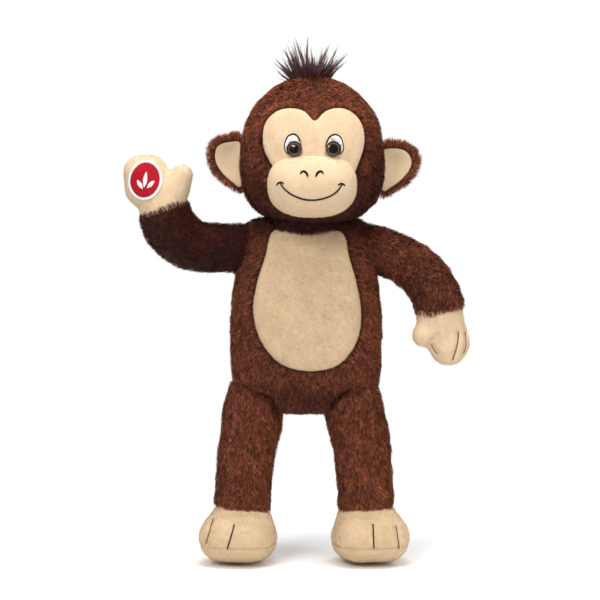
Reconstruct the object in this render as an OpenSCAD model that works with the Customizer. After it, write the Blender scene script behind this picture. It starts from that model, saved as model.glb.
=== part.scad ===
// Stuffed monkey: fur-covered torso, head, arms and legs on sewn joints, with
// short-pile face, belly, hands and feet.  Front is -Y, up is +Z, millimetres.
// "right" and "left" are the toy's own sides: its right is -X.

/* [Torso] */
// Width of the torso at the waist
torso_w = 126; // [122:1:128]
// Depth of the torso from belly to back
torso_d = 86; // [82:1:90]
// Height of the hip joints over the floor
hip_z = 130; // [129:1:132]
// Height of the shoulder line over the hip joints
torso_h = 152; // [151:1:154]
// Thickness of the long-pile skin with its backing
fur_t = 2.4; // [1.8:0.2:3]
// Thickness of the short-pile skin
pile_t = 1.6; // [1.2:0.2:2]

/* [Head] */
// Width of the head without its ears
head_w = 125; // [122:1:128]
// Height from the chin plane to the crown
head_h = 129; // [126:1:131]
// Width of the muzzle
muzzle_w = 74; // [70:1:76]
// Height of the muzzle
muzzle_h = 53; // [50:1:54]
// Diameter of the plastic eyes
eye_d = 13; // [11:0.5:14]
// Radius of the ears
ear_r = 24.5; // [23:0.5:26]
// Thickness of the ears
ear_t = 11; // [9:1:12]
// Height of the hair tuft over the crown
tuft_h = 31; // [26:1:36]

/* [Limbs] */
// Diameter of the upper arms
arm_d = 44; // [42:1:44]
// Diameter of the sleeve cuffs
cuff_d = 47; // [45:1:48]
// Diameter of the legs
leg_d = 54; // [52:1:54]
// Thickness of the hands
hand_t = 25; // [23:1:27]
// Width of the feet
foot_w = 65; // [62:1:66]
// Gap between parts that turn against each other
play = 0.5; // [0.4:0.1:0.6]

/* [Hidden] */
right = -1;
left = 1;

fur_brown = "#4a2416";
pile_tan = "#e3c59a";
thread_black = "#221a18";
fill_white = "#f2f0ea";

ball_fn = 20;          // facets round the spheres that are hulled into soft blocks
turn_fn = 64;          // facets round the turned limbs and the head
fill_gap = 0.3;        // stuffing stays this far inside its skin
thread = 0.5;          // how far embroidery stands proud
row_shift = [6.9, 10.8, 0];  // puts the origin under the middle of the whole toy

// Torso: a stack of balls, each level [x, y, z, radius] of the ball in one quarter.
seat_r = 38;
waist_r = torso_w / 2 - 26;
chest_r = 18;
chest_half_w = 50;
torso_levels = [
    [26, torso_d / 2 - seat_r, hip_z + seat_r, seat_r],
    [26, torso_d / 2 - waist_r - 3, hip_z + 93, waist_r],
    [chest_half_w - chest_r, 13, hip_z + torso_h - chest_r, chest_r]
];

// Hip, shoulder and neck joints
hip_x = 42;
lean = -2.5;             // the legs stand this far to one side of the torso's middle
hip_ball = leg_d / 2;
arch_r = hip_ball + 1;
hip_root_r = 14;
shoulder_root_r = 9;
hip_root_top = 37;
root_x = 28;             // how far from the middle each shoulder root starts
shoulder_z = hip_z + 138;
shoulder_x = 63.5;
shoulder_ball = arm_d / 2;
neck_z = hip_z + torso_h;
neck_ball = 26;
neck_pocket_z = neck_z - 18;
neck_pocket_r = 23;

// Head: a turned shape that is wider below its middle than a ball
head_c = [6, -4, 340.5];
head_a = head_w / 2;
head_up = 0.59 * head_h;
head_down = 0.41 * head_h;
crown = head_c[2] + head_up;
muzzle_c = [head_c[0] - 0.6, -53.5, 321.5];
brow_r = 23.5;
brow_x = 19.7;
brow_z = 364;
cheek_edge = [[0, 376], [brow_x, brow_z], [41.6, 356], [38, 347], [31, 335]];   // left edge of the face
eye_z = 351.8;
eye_angle = 15;
eye_lean = 7;
eye_stem_r = 2;
eye_seat = 1.3;          // the eye's flat back stands this far over the face
eye_dome = 3.6;
eye_stem_l = 12;
ear_hinge = head_a + ear_t / 2 + 0.4;
ear_y = 10;
ear_c = [[head_c[0] - 66.5, ear_y, 342], [head_c[0] + 66.5, ear_y, 336]];
tuft_x = 4;

// Arms: shoulder, elbow and wrist of the waving right arm and the lowered left arm
arm_joints = [
    [[-shoulder_x, 0, shoulder_z], [-114.8, 0, 272], [-122.4, -10, 303]],
    [[shoulder_x, 0, shoulder_z], [103, -10, 249.5], [112, -16, 214]]
];
elbow_cut = [21, 17.5];   // where each upper arm stops, before the elbow's middle
hand_way = [[-0.25, -0.14, 0.958], [0.17, -0.05, -0.984]];   // from the wrist to the fingertips
hand_turn = [0, 125];     // turns the palm about the hand's own length
wrist_ball = 17;
cuff_cut = 5;

// Legs
ankle_x = 54.5;
ankle_z = 40;
ankle_ball = 21;
leg_end_r = hip_ball - 1.5;   // radius of each leg at its cuff
leg_cut = 10;            // where each leg stops, before the ankle's middle
toe_out = 9;             // degrees
sole_h = 11;             // height of the seam between foot and sole

function side_of(s) = s < 0 ? 0 : 1;
function hip(s) = [s * hip_x + lean, 0, hip_z];
function ankle(s) = [s * ankle_x + lean, 0, ankle_z];
// quarter of a rounded outline: half sizes a and b, exponent n, in count steps from the rim to the pole
function lobe(a, b, n, count) = [
    for (i = [0 : count]) let (t = 90 * i / count) [a * pow(cos(t), 2 / n), b * pow(sin(t), 2 / n)]
];
function arc(r, from, to, count, c = [0, 0]) = [
    for (i = [0 : count]) let (t = from + (to - from) * i / count) c + r * [cos(t), sin(t)]
];
function reversed(list) = [for (i = [len(list) - 1 : -1 : 0]) list[i]];

// Stands the children up in the XZ plane and gives them depth along Y, from y0 to y1.
module face_on(y0, y1) translate([0, y1, 0]) rotate([90, 0, 0]) linear_extrude(y1 - y0) children();

// Puts the children's +Z along the line from a to b, starting at a.
module along(a, b) {
    d = b - a;
    translate(a) rotate([0, acos(d[2] / norm(d)), atan2(d[1], d[0])]) children();
}

// ---------------------------------------------------------------- torso

module torso_block(grow = 0) hull()
    for (level = torso_levels, x = [-1, 1], y = [-1, 1])
        translate([x * level[0], y * level[1], level[2]]) sphere(r = level[3] + grow, $fn = ball_fn);

// Room for both legs: an arch over each hip, open to the side and downwards.
module leg_room() for (s = [right, left]) face_on(-100, 100)
    polygon([for (p = concat([[-arch_r, -60]], arc(arch_r, 180, 90, 16), [[60, arch_r], [60, -60]]))
        hip(s)[0] * [1, 0] + [s * p[0], hip_z + p[1]]]);

// Sockets for the neck, the arms and the legs, each a turned pocket with a round mouth.
module sockets(gap = 0) {
    translate([0, 0, neck_pocket_z - gap]) cylinder(r = neck_pocket_r + play + gap, h = 60, $fn = turn_fn);
    for (s = [right, left]) {
        translate([s * shoulder_x, 0, shoulder_z]) sphere(r = shoulder_ball + 2 * play + gap, $fn = turn_fn);
        translate([s * (root_x - gap), 0, shoulder_z]) rotate([0, s * 90, 0])
            cylinder(r = shoulder_root_r + play + gap, h = 30, $fn = turn_fn);
        translate(hip(s)) cylinder(r = hip_root_r + play + gap, h = hip_root_top + gap, $fn = turn_fn);
    }
}

// Egg-shaped belly outline: round below its widest line, narrowing to the chin above it.
function belly_half_w(rise) = 28.3 + 8.6 * (1 + cos(180 * rise / 75));
module belly_outline() translate([0, hip_z + 83]) polygon(concat(
    [for (i = [12 : 24]) [45.5 * cos(15 * i), 48.5 * sin(15 * i)]],
    [for (rise = [15 : 15 : 75]) [belly_half_w(rise), rise]],
    [for (rise = [75 : -15 : 15]) [-belly_half_w(rise), rise]]
));

module belly_cutter() face_on(-80, -26) belly_outline();

module torso_skin() color(fur_brown) difference() {
    torso_block();
    torso_block(-fur_t);
    leg_room();
    sockets();
    belly_cutter();
}

module belly_panel() color(pile_tan) difference() {
    intersection() {
        torso_block();
        belly_cutter();
    }
    torso_block(-fur_t);
}

module torso_stuffing() color(fill_white) difference() {
    torso_block(-fur_t - fill_gap);
    leg_room();
    sockets(fill_gap);
}

// The hand-sewn opening in the back: a ladder of short stitches.
module closing_seam() color(fur_brown) intersection() {
    difference() {
        torso_block(thread);
        torso_block();
    }
    union() {
        translate([-0.8, 20, hip_z + 62]) cube([1.6, 60, 56]);
        for (i = [0 : 7]) translate([-4, 20, hip_z + 65 + 7 * i]) cube([8, 60, 1.2]);
    }
}

module care_label() color("white") difference() {
    translate([-8, torso_d / 2 + 1.5, hip_z + 22]) rotate([5, 0, 0]) cube([16, 0.8, 26]);
    torso_block();
}

// ---------------------------------------------------------------- head

// Half outline of the head, less the thickness t, as [radius, height].
function head_outline(t) = concat(
    [for (p = reversed(lobe(head_a - t, head_down - t, 3.2, 10))) [p[0], -p[1]]],
    [for (i = [1 : 10]) lobe(head_a - t, head_up - t, 2.25, 10)[i]]
);

module head_block(t = 0) translate(head_c)
    rotate_extrude($fn = turn_fn) polygon(concat([[0, -head_down + t]], head_outline(t)));

// The muzzle is turned about a line from cheek to cheek.
module muzzle_block(grow = 0) {
    quarter = lobe(muzzle_h / 2 + grow, muzzle_w / 2 + grow, 2.25, 10);
    translate(muzzle_c) rotate([0, 90, 0]) rotate_extrude($fn = turn_fn)
        polygon(concat([for (p = reversed(quarter)) [p[0], -p[1]]], [for (i = [1 : 10]) quarter[i]]));
}

// Neck socket under the head: a round dish that the neck ball turns in.
module neck_dish(gap = 0) translate([0, 0, neck_z]) sphere(r = neck_ball + play + gap, $fn = turn_fn);

// Two brow lobes that run down beside the muzzle.
module face_outline() translate([head_c[0] + 1, 0]) {
    for (s = [-1, 1]) translate([s * brow_x, brow_z]) circle(r = brow_r, $fn = 48);
    polygon(concat(cheek_edge, [for (p = reversed(cheek_edge)) [-p[0], p[1]]]));
}

module head_shell() difference() {
    head_block();
    head_block(fur_t);
    neck_dish();
    muzzle_block();
}

module head_skin() color(fur_brown) difference() {
    head_shell();
    face_on(-90, -20) face_outline();
}

module face_patch() color(pile_tan) difference() {
    intersection() {
        head_shell();
        face_on(-90, -20) face_outline();
    }
    for (s = [right, left]) on_face(s) cylinder(r = eye_stem_r + 0.3, h = 30, center = true, $fn = 24);
    for (s = [right, left]) eye_white(s);
}

module muzzle_skin() color(pile_tan) difference() {
    muzzle_block();
    muzzle_block(-pile_t);
    head_block(fur_t);
}

module head_stuffing() color(fill_white) difference() {
    union() {
        head_block(fur_t + fill_gap);
        muzzle_block(-pile_t - fill_gap);
    }
    neck_dish(fill_gap);
    for (s = [right, left]) on_face(s) {
        translate([0, 0, -14]) cylinder(r = eye_stem_r + 0.3, h = 20, $fn = 24);
        translate([0, 0, -6.2]) cylinder(r = 8.3, h = 3, $fn = 32);
    }
}

// Eye frame: origin on the face where an eye sits, +Z straight out of the face.
module on_face(s)
    translate([head_c[0] + 1, head_c[1], eye_z]) rotate([0, 0, s * eye_angle])
        translate([0, -head_a + 1.3, 0]) rotate([90 - eye_lean, 0, 0]) children();

module eye(s) color("#2a1a14") on_face(s) {
    translate([0, 0, eye_seat])
        rotate_extrude($fn = 48) polygon(concat([[0, 0]], lobe(eye_d / 2, eye_dome, 2.1, 8)));
    translate([0, 0, -eye_stem_l]) cylinder(r = eye_stem_r, h = eye_stem_l + eye_seat + 0.5, $fn = 24);
}

module eye_washer(s) color("white") on_face(s) translate([0, 0, -6]) difference() {
    cylinder(r = 8, h = 1.6, $fn = 32);
    translate([0, 0, -1]) cylinder(r = eye_stem_r + 0.05, h = 4, $fn = 24);
}

// Embroidered white of the eye with its dark rim, under the plastic eye.
module eye_white(s) color("white") on_face(s) difference() {
    translate([s * 0.7, 3.1, 0]) linear_extrude(eye_seat - 0.1) scale([7.8, 9.8]) circle(r = 1, $fn = 36);
    translate([0, 0, -1]) cylinder(r = eye_stem_r + 0.05, h = 4, $fn = 24);
}

module muzzle_thread() difference() {
    intersection() {
        muzzle_block(thread);
        union() children();
    }
    muzzle_block();
    head_block();
}

// A curved stroke of the needle, part of a ring.
module stroke(c, r, from, to, w = 1.3) translate(c)
    polygon(concat(arc(r + w / 2, from, to, 16), reversed(arc(r - w / 2, from, to, 16))));

module nostril_threads() color(thread_black) muzzle_thread()
    for (s = [-1, 1]) face_on(-90, -62)
        stroke([muzzle_c[0] + s * 7.2, 331.4], 3.6, 10 + s * 20, 170 + s * 20);

module smile_thread() color(thread_black) muzzle_thread() face_on(-90, -50) {
    stroke([muzzle_c[0] - 0.4, 341.6], 31.3, 216, 324);
    for (s = [-1, 1])
        stroke([muzzle_c[0] - 0.4 + s * 25.6, 319.6], 3.4, 40 - s * 15, 140 - s * 15, 1.5);
}

module hair_tuft() color("#3a2622") difference() {
    translate([tuft_x, head_c[1], crown]) rotate_extrude($fn = 40)
        polygon([[0, -8], [15, -8], [17, -1], [25, tuft_h * 0.5], [13, tuft_h * 0.93], [0, tuft_h]]);
    head_block();
}

// Ears are lens-shaped discs with a round sewn root.
module ear_disc(r, t) rotate([90, 0, 0]) rotate_extrude($fn = turn_fn) {
    quarter = lobe(r, t / 2, 2.6, 6);
    lower = [for (p = reversed(quarter)) [p[0], -p[1]]];
    polygon(concat(lower, [for (i = [1 : 6]) quarter[i]]));
}

module ear_lining_shape(s) intersection() {
    translate(ear_c[side_of(s)] + [-s * 1.5, -ear_t / 2, -1]) ear_disc(ear_r - 5, 5);
    translate([head_c[0] + (s > 0 ? ear_hinge + 1 : -ear_hinge - 41), -50, 300]) cube([40, 100, 80]);
}

module ear_back(s) color(fur_brown) difference() {
    union() {
        intersection() {
            translate(ear_c[side_of(s)]) ear_disc(ear_r, ear_t);
            translate([head_c[0] + (s > 0 ? ear_hinge : -ear_hinge - 40), -50, 300]) cube([40, 100, 80]);
        }
        translate([head_c[0] + s * ear_hinge, ear_y, ear_c[side_of(s)][2] - 18])
            cylinder(r = ear_t / 2, h = 36, $fn = 32);
    }
    ear_lining_shape(s);
}

module ear_lining(s) color(pile_tan) ear_lining_shape(s);

// Neck plug: stuffed ball that turns in the torso and carries the head.
module neck_root() color(fur_brown) intersection() {
    translate([0, 0, neck_z]) sphere(r = neck_ball, $fn = turn_fn);
    union() {
        translate([0, 0, neck_pocket_z + play]) cylinder(r = neck_pocket_r, h = 20, $fn = turn_fn);
        translate([0, 0, neck_z + 0.5]) cylinder(r = 40, h = 40, $fn = turn_fn);
    }
}

// ---------------------------------------------------------------- arms

module shoulder_root(s) color(fur_brown) difference() {
    translate([s * (root_x + play), 0, shoulder_z]) rotate([0, s * 90, 0])
        cylinder(r = shoulder_root_r, h = 16, $fn = turn_fn);
    translate([s * shoulder_x, 0, shoulder_z]) sphere(r = shoulder_ball + play, $fn = turn_fn);
}

// A stuffed tube from joint a to joint b, thinner by t all over.  It starts as a ball of
// radius r0 about a and ends at radius r1, short of b by cut, with a dish for the ball at b.
module tube(a, b, r0, r1, cut, ball, t) {
    reach = norm(b - a);
    dish = ball + play + t;
    end = reach - cut - t;
    rim = acos(min(1, (reach - end) / dish));
    hollow = [for (i = [4 : -1 : 0]) [dish * sin(rim * i / 4), reach - dish * cos(rim * i / 4)]];
    along(a, b) rotate_extrude($fn = turn_fn) polygon(concat(
        [for (i = [0 : 9]) (r0 - t) * [sin(10 * i), -cos(10 * i)]],
        [[r1 - t, end - 2], [r1 - t - 2, end]],
        rim > 0 ? hollow : [[0, end]]
    ));
}

module upper_arm(s, t) {
    i = side_of(s);
    tube(arm_joints[i][0], arm_joints[i][1], shoulder_ball, shoulder_ball, elbow_cut[i], shoulder_ball, t);
}

module forearm(s, t) {
    i = side_of(s);
    tube(arm_joints[i][1], arm_joints[i][2], shoulder_ball, cuff_d / 2, cuff_cut, wrist_ball, t);
}

module upper_arm_skin(s) color(fur_brown) difference() {
    upper_arm(s, 0);
    upper_arm(s, fur_t);
}

module forearm_skin(s) color(fur_brown) difference() {
    forearm(s, 0);
    forearm(s, fur_t);
}

module upper_arm_stuffing(s) color(fill_white) upper_arm(s, fur_t + fill_gap);

module forearm_stuffing(s) color(fill_white) forearm(s, fur_t + fill_gap);

// Hand frame: origin at the wrist, +Z to the fingertips, palm towards -Y, thumb to the inside.
module in_hand(s) {
    i = side_of(s);
    wrist = arm_joints[i][2];
    along(wrist, wrist + hand_way[i]) rotate([0, 0, hand_turn[i] - atan2(hand_way[i][1], hand_way[i][0])])
        mirror([i, 0, 0]) children();
}

module hand_block(grow = 0) {
    r = hand_t / 2 + grow;
    hull() {
        for (x = [-13, 3]) translate([x, 0, 33]) sphere(r = r, $fn = ball_fn);
        for (x = [-8, 7]) translate([x, 0, 17.5]) sphere(r = r, $fn = ball_fn);
    }
    hull() {
        translate([23, -2, 22]) sphere(r = 9.2 + grow, $fn = ball_fn);
        translate([9, 0, 15.5]) sphere(r = 10 + grow, $fn = ball_fn);
    }
    sphere(r = wrist_ball + grow, $fn = turn_fn / 2);
}

module hand_skin(s) color(pile_tan) in_hand(s) difference() {
    hand_block();
    hand_block(-pile_t);
}

module hand_stuffing(s) color(fill_white) in_hand(s) hand_block(-pile_t - fill_gap);

// Three lines of stitching that part the fingers on the back of the hand.
module finger_threads(s) color(thread_black) in_hand(s) intersection() {
    difference() {
        hand_block(thread);
        hand_block();
    }
    for (x = [-15, -5, 5]) translate([x - 0.5, 2, 26]) cube([1, 30, 17]);
}

// Plain oval badge sewn on the palm of the waving hand, made of a field and a raised border.
module badge_oval(a, b) translate([-5, 0, 27]) face_on(-30, -2)
    polygon([for (i = [0 : 35]) [a * cos(10 * i), b * sin(10 * i)]]);

module badge_part(a, b, thick) intersection() {
    badge_oval(a, b);
    difference() {
        hand_block(thick);
        hand_block();
    }
}

module paw_badge_border() color("white") in_hand(right) difference() {
    badge_part(14, 16.5, 1.2);
    badge_oval(11.5, 14);
}

module paw_badge_field() color("#c8102e") in_hand(right) badge_part(11.4, 13.9, 0.8);

// ---------------------------------------------------------------- legs

// A plug that turns in the torso; the leg's ball swings under it.
module hip_root(s) color(fur_brown) translate(hip(s) + [0, 0, hip_ball + play])
    cylinder(r = hip_root_r, h = hip_root_top - hip_ball - 2 * play, $fn = turn_fn);

module leg(s, t)
    tube(hip(s), ankle(s), hip_ball, leg_end_r, leg_cut, ankle_ball, t);

module leg_skin(s) color(fur_brown) difference() {
    leg(s, 0);
    leg(s, fur_t);
}

module leg_stuffing(s) color(fill_white) leg(s, fur_t + fill_gap);

// Foot frame: origin on the floor under the ankle, toes towards -Y, turned a little outwards.
module in_foot(s) translate([ankle(s)[0], 0, 0]) rotate([0, 0, s * toe_out]) children();

module foot_block(grow = 0) {
    toe_r = foot_w * 0.3;
    hull() {
        for (x = [-1, 1]) {
            translate([x * (foot_w / 2 - toe_r), -30, toe_r - 2.5]) sphere(r = toe_r + grow, $fn = ball_fn);
            translate([x * 9, 12, 14]) sphere(r = 16 + grow, $fn = ball_fn);
        }
        translate([0, -10, 21]) sphere(r = 21 + grow, $fn = ball_fn);
    }
    translate([0, 0, ankle_z]) sphere(r = ankle_ball + grow, $fn = turn_fn / 2);
}

module over(z) translate([-60, -90, z]) cube([120, 160, 90]);

module foot_shell() difference() {
    intersection() {
        foot_block();
        over(0);
    }
    intersection() {
        foot_block(-pile_t);
        over(pile_t);
    }
}

module foot_upper(s) color(pile_tan) in_foot(s) intersection() {
    foot_shell();
    over(sole_h);
}

module foot_sole(s) color(pile_tan) in_foot(s) difference() {
    foot_shell();
    over(sole_h);
}

module foot_stuffing(s) color(fill_white) in_foot(s) intersection() {
    foot_block(-pile_t - fill_gap);
    over(pile_t + fill_gap);
}

// Two lines of stitching that part the toes, one in the middle and one to the outside.
module toe_threads(s) color(thread_black) in_foot(s) intersection() {
    difference() {
        foot_block(thread);
        foot_block();
    }
    for (x = [-1, 20]) translate([s * x - 0.5, -70, sole_h + 1]) cube([1, 45, 24]);
}

// ---------------------------------------------------------------- nodes

translate(row_shift) {
    torso_skin();
    belly_panel();
    torso_stuffing();
    closing_seam();
    care_label();
    neck_root();
    head_skin();
    face_patch();
    muzzle_skin();
    head_stuffing();
    hair_tuft();
    eye(right);  // eye_right
    eye(left);  // eye_left
    eye_washer(right);  // eye_washer_right
    eye_washer(left);  // eye_washer_left
    eye_white(right);  // eye_white_right
    eye_white(left);  // eye_white_left
    nostril_threads();
    smile_thread();
    ear_back(right);  // ear_back_right
    ear_back(left);  // ear_back_left
    ear_lining(right);  // ear_lining_right
    ear_lining(left);  // ear_lining_left
    shoulder_root(right);  // shoulder_root_right
    shoulder_root(left);  // shoulder_root_left
    upper_arm_skin(right);  // upper_arm_skin_right
    upper_arm_skin(left);  // upper_arm_skin_left
    upper_arm_stuffing(right);  // upper_arm_stuffing_right
    upper_arm_stuffing(left);  // upper_arm_stuffing_left
    forearm_skin(right);  // forearm_skin_right
    forearm_skin(left);  // forearm_skin_left
    forearm_stuffing(right);  // forearm_stuffing_right
    forearm_stuffing(left);  // forearm_stuffing_left
    hand_skin(right);  // hand_skin_right
    hand_skin(left);  // hand_skin_left
    hand_stuffing(right);  // hand_stuffing_right
    hand_stuffing(left);  // hand_stuffing_left
    finger_threads(right);  // finger_threads_right
    finger_threads(left);  // finger_threads_left
    paw_badge_border();
    paw_badge_field();
    hip_root(right);  // hip_root_right
    hip_root(left);  // hip_root_left
    leg_skin(right);  // leg_skin_right
    leg_skin(left);  // leg_skin_left
    leg_stuffing(right);  // leg_stuffing_right
    leg_stuffing(left);  // leg_stuffing_left
    foot_upper(right);  // foot_upper_right
    foot_upper(left);  // foot_upper_left
    foot_sole(right);  // foot_sole_right
    foot_sole(left);  // foot_sole_left
    foot_stuffing(right);  // foot_stuffing_right
    foot_stuffing(left);  // foot_stuffing_left
    toe_threads(right);  // toe_threads_right
    toe_threads(left);  // toe_threads_left
}
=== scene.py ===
import math

import bmesh
import bpy
import numpy as np
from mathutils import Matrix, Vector
from mathutils.bvhtree import BVHTree
from mathutils.kdtree import KDTree


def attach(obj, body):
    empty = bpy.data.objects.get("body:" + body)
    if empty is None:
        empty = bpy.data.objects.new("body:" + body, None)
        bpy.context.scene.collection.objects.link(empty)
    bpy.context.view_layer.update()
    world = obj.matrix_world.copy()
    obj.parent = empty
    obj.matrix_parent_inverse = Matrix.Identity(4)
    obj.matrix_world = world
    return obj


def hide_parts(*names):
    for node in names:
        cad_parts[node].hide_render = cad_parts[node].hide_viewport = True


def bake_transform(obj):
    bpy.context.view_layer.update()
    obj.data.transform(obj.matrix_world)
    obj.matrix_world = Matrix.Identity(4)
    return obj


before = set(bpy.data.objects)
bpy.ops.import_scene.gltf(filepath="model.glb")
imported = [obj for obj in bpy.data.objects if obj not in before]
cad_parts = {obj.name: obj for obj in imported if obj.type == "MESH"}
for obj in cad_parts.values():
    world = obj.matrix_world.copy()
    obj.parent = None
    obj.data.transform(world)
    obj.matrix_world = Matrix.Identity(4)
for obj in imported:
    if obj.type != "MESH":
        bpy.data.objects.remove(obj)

# Every shape below is worked out in millimetres in the row frame and scaled on the way in.
MM = 1000.0
scene = bpy.context.scene
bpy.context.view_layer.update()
SIDES = ("right", "left")

# The camera's place, which all outlines are aimed from: a line from it through a place
# (x, z) on the plane y = 0 meets the surface that the outline lies on.
EYE = np.array([2.55, -1697.7, 314.0])
MID_Y = 10.8         # the middle of the body, front to back
BACK_X = 6.9         # the middle of the back, left to right

HIP = {"right": np.array([-37.6, MID_Y, 130.0]), "left": np.array([46.4, MID_Y, 130.0])}
ANKLE = {"right": np.array([-50.1, MID_Y, 40.0]), "left": np.array([58.9, MID_Y, 40.0])}
HEAD = np.array([12.9, 6.8, 340.5])
HEAD_R, HEAD_UP, HEAD_DOWN = 62.5, 76.1, 52.9
MUZZLE = np.array([12.6, -42.9, 322.4])
CROWN = np.array([11.2, 6.8])           # the middle of the hair tuft, (x, y)
INSET = 3.6          # how far the cloth backing lies under the tips of the long pile


# ------------------------------------------------------------------ small tools

def unit(v):
    v = np.asarray(v, float)
    return v / (np.linalg.norm(v, axis=-1, keepdims=True) + 1e-12)


def read(items, key):
    """A vector of each item, as rows."""
    a = np.empty(len(items) * 3, np.float32)
    items.foreach_get(key, a)
    return a.reshape(-1, 3).astype(float)


def points(ob):
    return read(ob.data.vertices, "co") * MM


def put(ob, p):
    ob.data.vertices.foreach_set("co", (np.asarray(p) / MM).astype(np.float32).ravel())
    ob.data.update()


def mesh(name, verts, faces, smooth=True):
    me = bpy.data.meshes.new(name)
    me.from_pydata((np.asarray(verts, float) / MM).tolist(), [], [tuple(f) for f in faces])
    if smooth:
        me.shade_smooth()
    ob = bpy.data.objects.new(name, me)
    scene.collection.objects.link(ob)
    return ob


def settle(ob):
    """Applies the modifiers."""
    shape = bpy.data.meshes.new_from_object(ob.evaluated_get(bpy.context.evaluated_depsgraph_get()))
    ob.modifiers.clear()
    old, ob.data = ob.data, shape
    bpy.data.meshes.remove(old)
    shape.name = ob.name
    shape.shade_smooth()
    return ob


def soften(ob, rounds):
    m = ob.modifiers.new("soft", "SMOOTH")
    m.factor, m.iterations = 0.5, rounds


def remesh(ob, voxel, rounds):
    """An even skin of voxel-sized faces, in millimetres, smoothed a number of rounds."""
    m = ob.modifiers.new("skin", "REMESH")
    m.mode, m.voxel_size = "VOXEL", voxel / MM
    soften(ob, rounds)
    return settle(ob)


def subdivide(ob):
    ob.modifiers.new("sub", "SUBSURF").levels = 1
    return settle(ob)


def tree_of(p):
    """A search tree that gives back the number of the nearest point."""
    tree = KDTree(len(p))
    for i, q in enumerate(p):
        tree.insert(q, i)
    tree.balance()
    return tree


def join_parts(parts):
    """One vertex and face list out of several."""
    verts, faces, n = [], [], 0
    for v, f in parts:
        verts.append(np.asarray(v, float))
        faces += [tuple(int(i) + n for i in q) for q in f]
        n += len(v)
    return np.concatenate(verts), faces


def ball_points():
    bm = bmesh.new()
    bmesh.ops.create_icosphere(bm, subdivisions=3, radius=1)
    p = np.array([v.co for v in bm.verts])
    bm.free()
    return p


BALL = ball_points()


def hull(balls):
    """The tight skin round a list of balls (x, y, z, radius, share of it in y)."""
    bm = bmesh.new()
    for x, y, z, r, flat in balls:
        for p in BALL * [r, r * flat, r] + [x, y, z]:
            bm.verts.new(p)
    made = bmesh.ops.convex_hull(bm, input=bm.verts[:])
    loose = {g for g in made["geom_interior"] + made["geom_unused"] if isinstance(g, bmesh.types.BMVert)}
    bmesh.ops.delete(bm, geom=list(loose), context="VERTS")
    bm.verts.index_update()
    v = np.array([q.co for q in bm.verts])
    f = [[q.index for q in face.verts] for face in bm.faces]
    bm.free()
    return v, f


def ring_faces(rings, n):
    """Four-sided faces between closed rings of n points each."""
    return [(k * n + i, k * n + (i + 1) % n, (k + 1) * n + (i + 1) % n, (k + 1) * n + i)
            for k in range(rings - 1) for i in range(n)]


def lofted(rings):
    """Closed skin through rings of points, each ring the same length."""
    n = len(rings[0])
    verts = np.concatenate(rings + [rings[0].mean(0)[None], rings[-1].mean(0)[None]])
    a, b, last = len(verts) - 2, len(verts) - 1, (len(rings) - 1) * n
    faces = ring_faces(len(rings), n)
    faces += [(a, (i + 1) % n, i) for i in range(n)]
    faces += [(b, last + i, last + (i + 1) % n) for i in range(n)]
    return verts, faces


def oval(cx, cy, z, a, b, exponent=2.4, n=56):
    """A level ring, a and b wide each way from its middle; exponent 2 makes it an ellipse."""
    t = np.linspace(0, 2 * np.pi, n, endpoint=False)
    c, s = np.cos(t), np.sin(t)
    x = np.sign(c) * np.abs(c) ** (2 / exponent) * a
    y = np.sign(s) * np.abs(s) ** (2 / exponent) * b
    return np.stack([cx + x, cy + y, np.full(n, float(z))], 1)


def between(a, b, c, d, u):
    """Share u of the way from b to c on the smooth line through four points (Catmull-Rom)."""
    return 0.5 * (2 * b + (c - a) * u + (2 * a - 5 * b + 4 * c - d) * u ** 2
                  + (3 * b - a - 3 * c + d) * u ** 3)


def curve(path, count):
    """A smooth line through the given points, with count points."""
    p = np.asarray(path, float)
    p = np.concatenate([2 * p[:1] - p[1:2], p, 2 * p[-1:] - p[-2:-1]])
    return np.array([between(*p[int(t):int(t) + 4], t - int(t))
                     for t in np.linspace(0, len(p) - 3 - 1e-6, count)])


def closed_curve(path, count):
    """A smooth closed line through the given points."""
    p = np.asarray(path, float)
    m = len(p)
    out = []
    for t in np.linspace(0, m, count, endpoint=False):
        i = int(t)
        out.append(between(*(p[(i + k) % m] for k in (-1, 0, 1, 2)), t - i))
    out = np.array(out)
    # even spacing
    step = np.linalg.norm(np.roll(out, -1, 0) - out, axis=1)
    s = np.concatenate([[0], np.cumsum(step)])
    ring = np.concatenate([out, out[:1]])
    at = np.linspace(0, s[-1], count, endpoint=False)
    return np.stack([np.interp(at, s, ring[:, k]) for k in range(ring.shape[1])], 1)


LIMB_RINGS, LIMB_POINTS = 26, 44
LIMB_DEPTH = 0.96    # a limb's depth as a share of its width
LIMB_END = 0.45      # how far its end bulges, as a share of its radius


def limb(path, radii):
    """A stuffed tube along a path, with a round start and a flatter end."""
    full = curve([list(p) + [r] for p, r in zip(path, radii)], LIMB_RINGS)
    c, r = full[:, :3], full[:, 3]
    t = unit(np.gradient(c, axis=0))
    side = np.array([0.0, 1.0, 0.0])
    rings = []
    ang = np.linspace(0, 2 * np.pi, LIMB_POINTS, endpoint=False)

    def ring(centre, tangent, radius):
        v = unit(side - tangent * (side @ tangent))
        u = np.cross(v, tangent)
        rings.append(centre + radius * (np.cos(ang)[:, None] * u + LIMB_DEPTH * np.sin(ang)[:, None] * v))

    def cap(at, bulge, degrees):
        a = math.radians(degrees)
        ring(c[at] + t[at] * r[at] * bulge * math.sin(a), t[at], r[at] * math.cos(a) ** 0.6)

    for degrees in (80, 62, 44, 26, 10):
        cap(0, -1, degrees)
    for k in range(LIMB_RINGS):
        ring(c[k], t[k], r[k])
    for degrees in (14, 32, 52, 72):
        cap(-1, LIMB_END, degrees)
    return lofted(rings)


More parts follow.
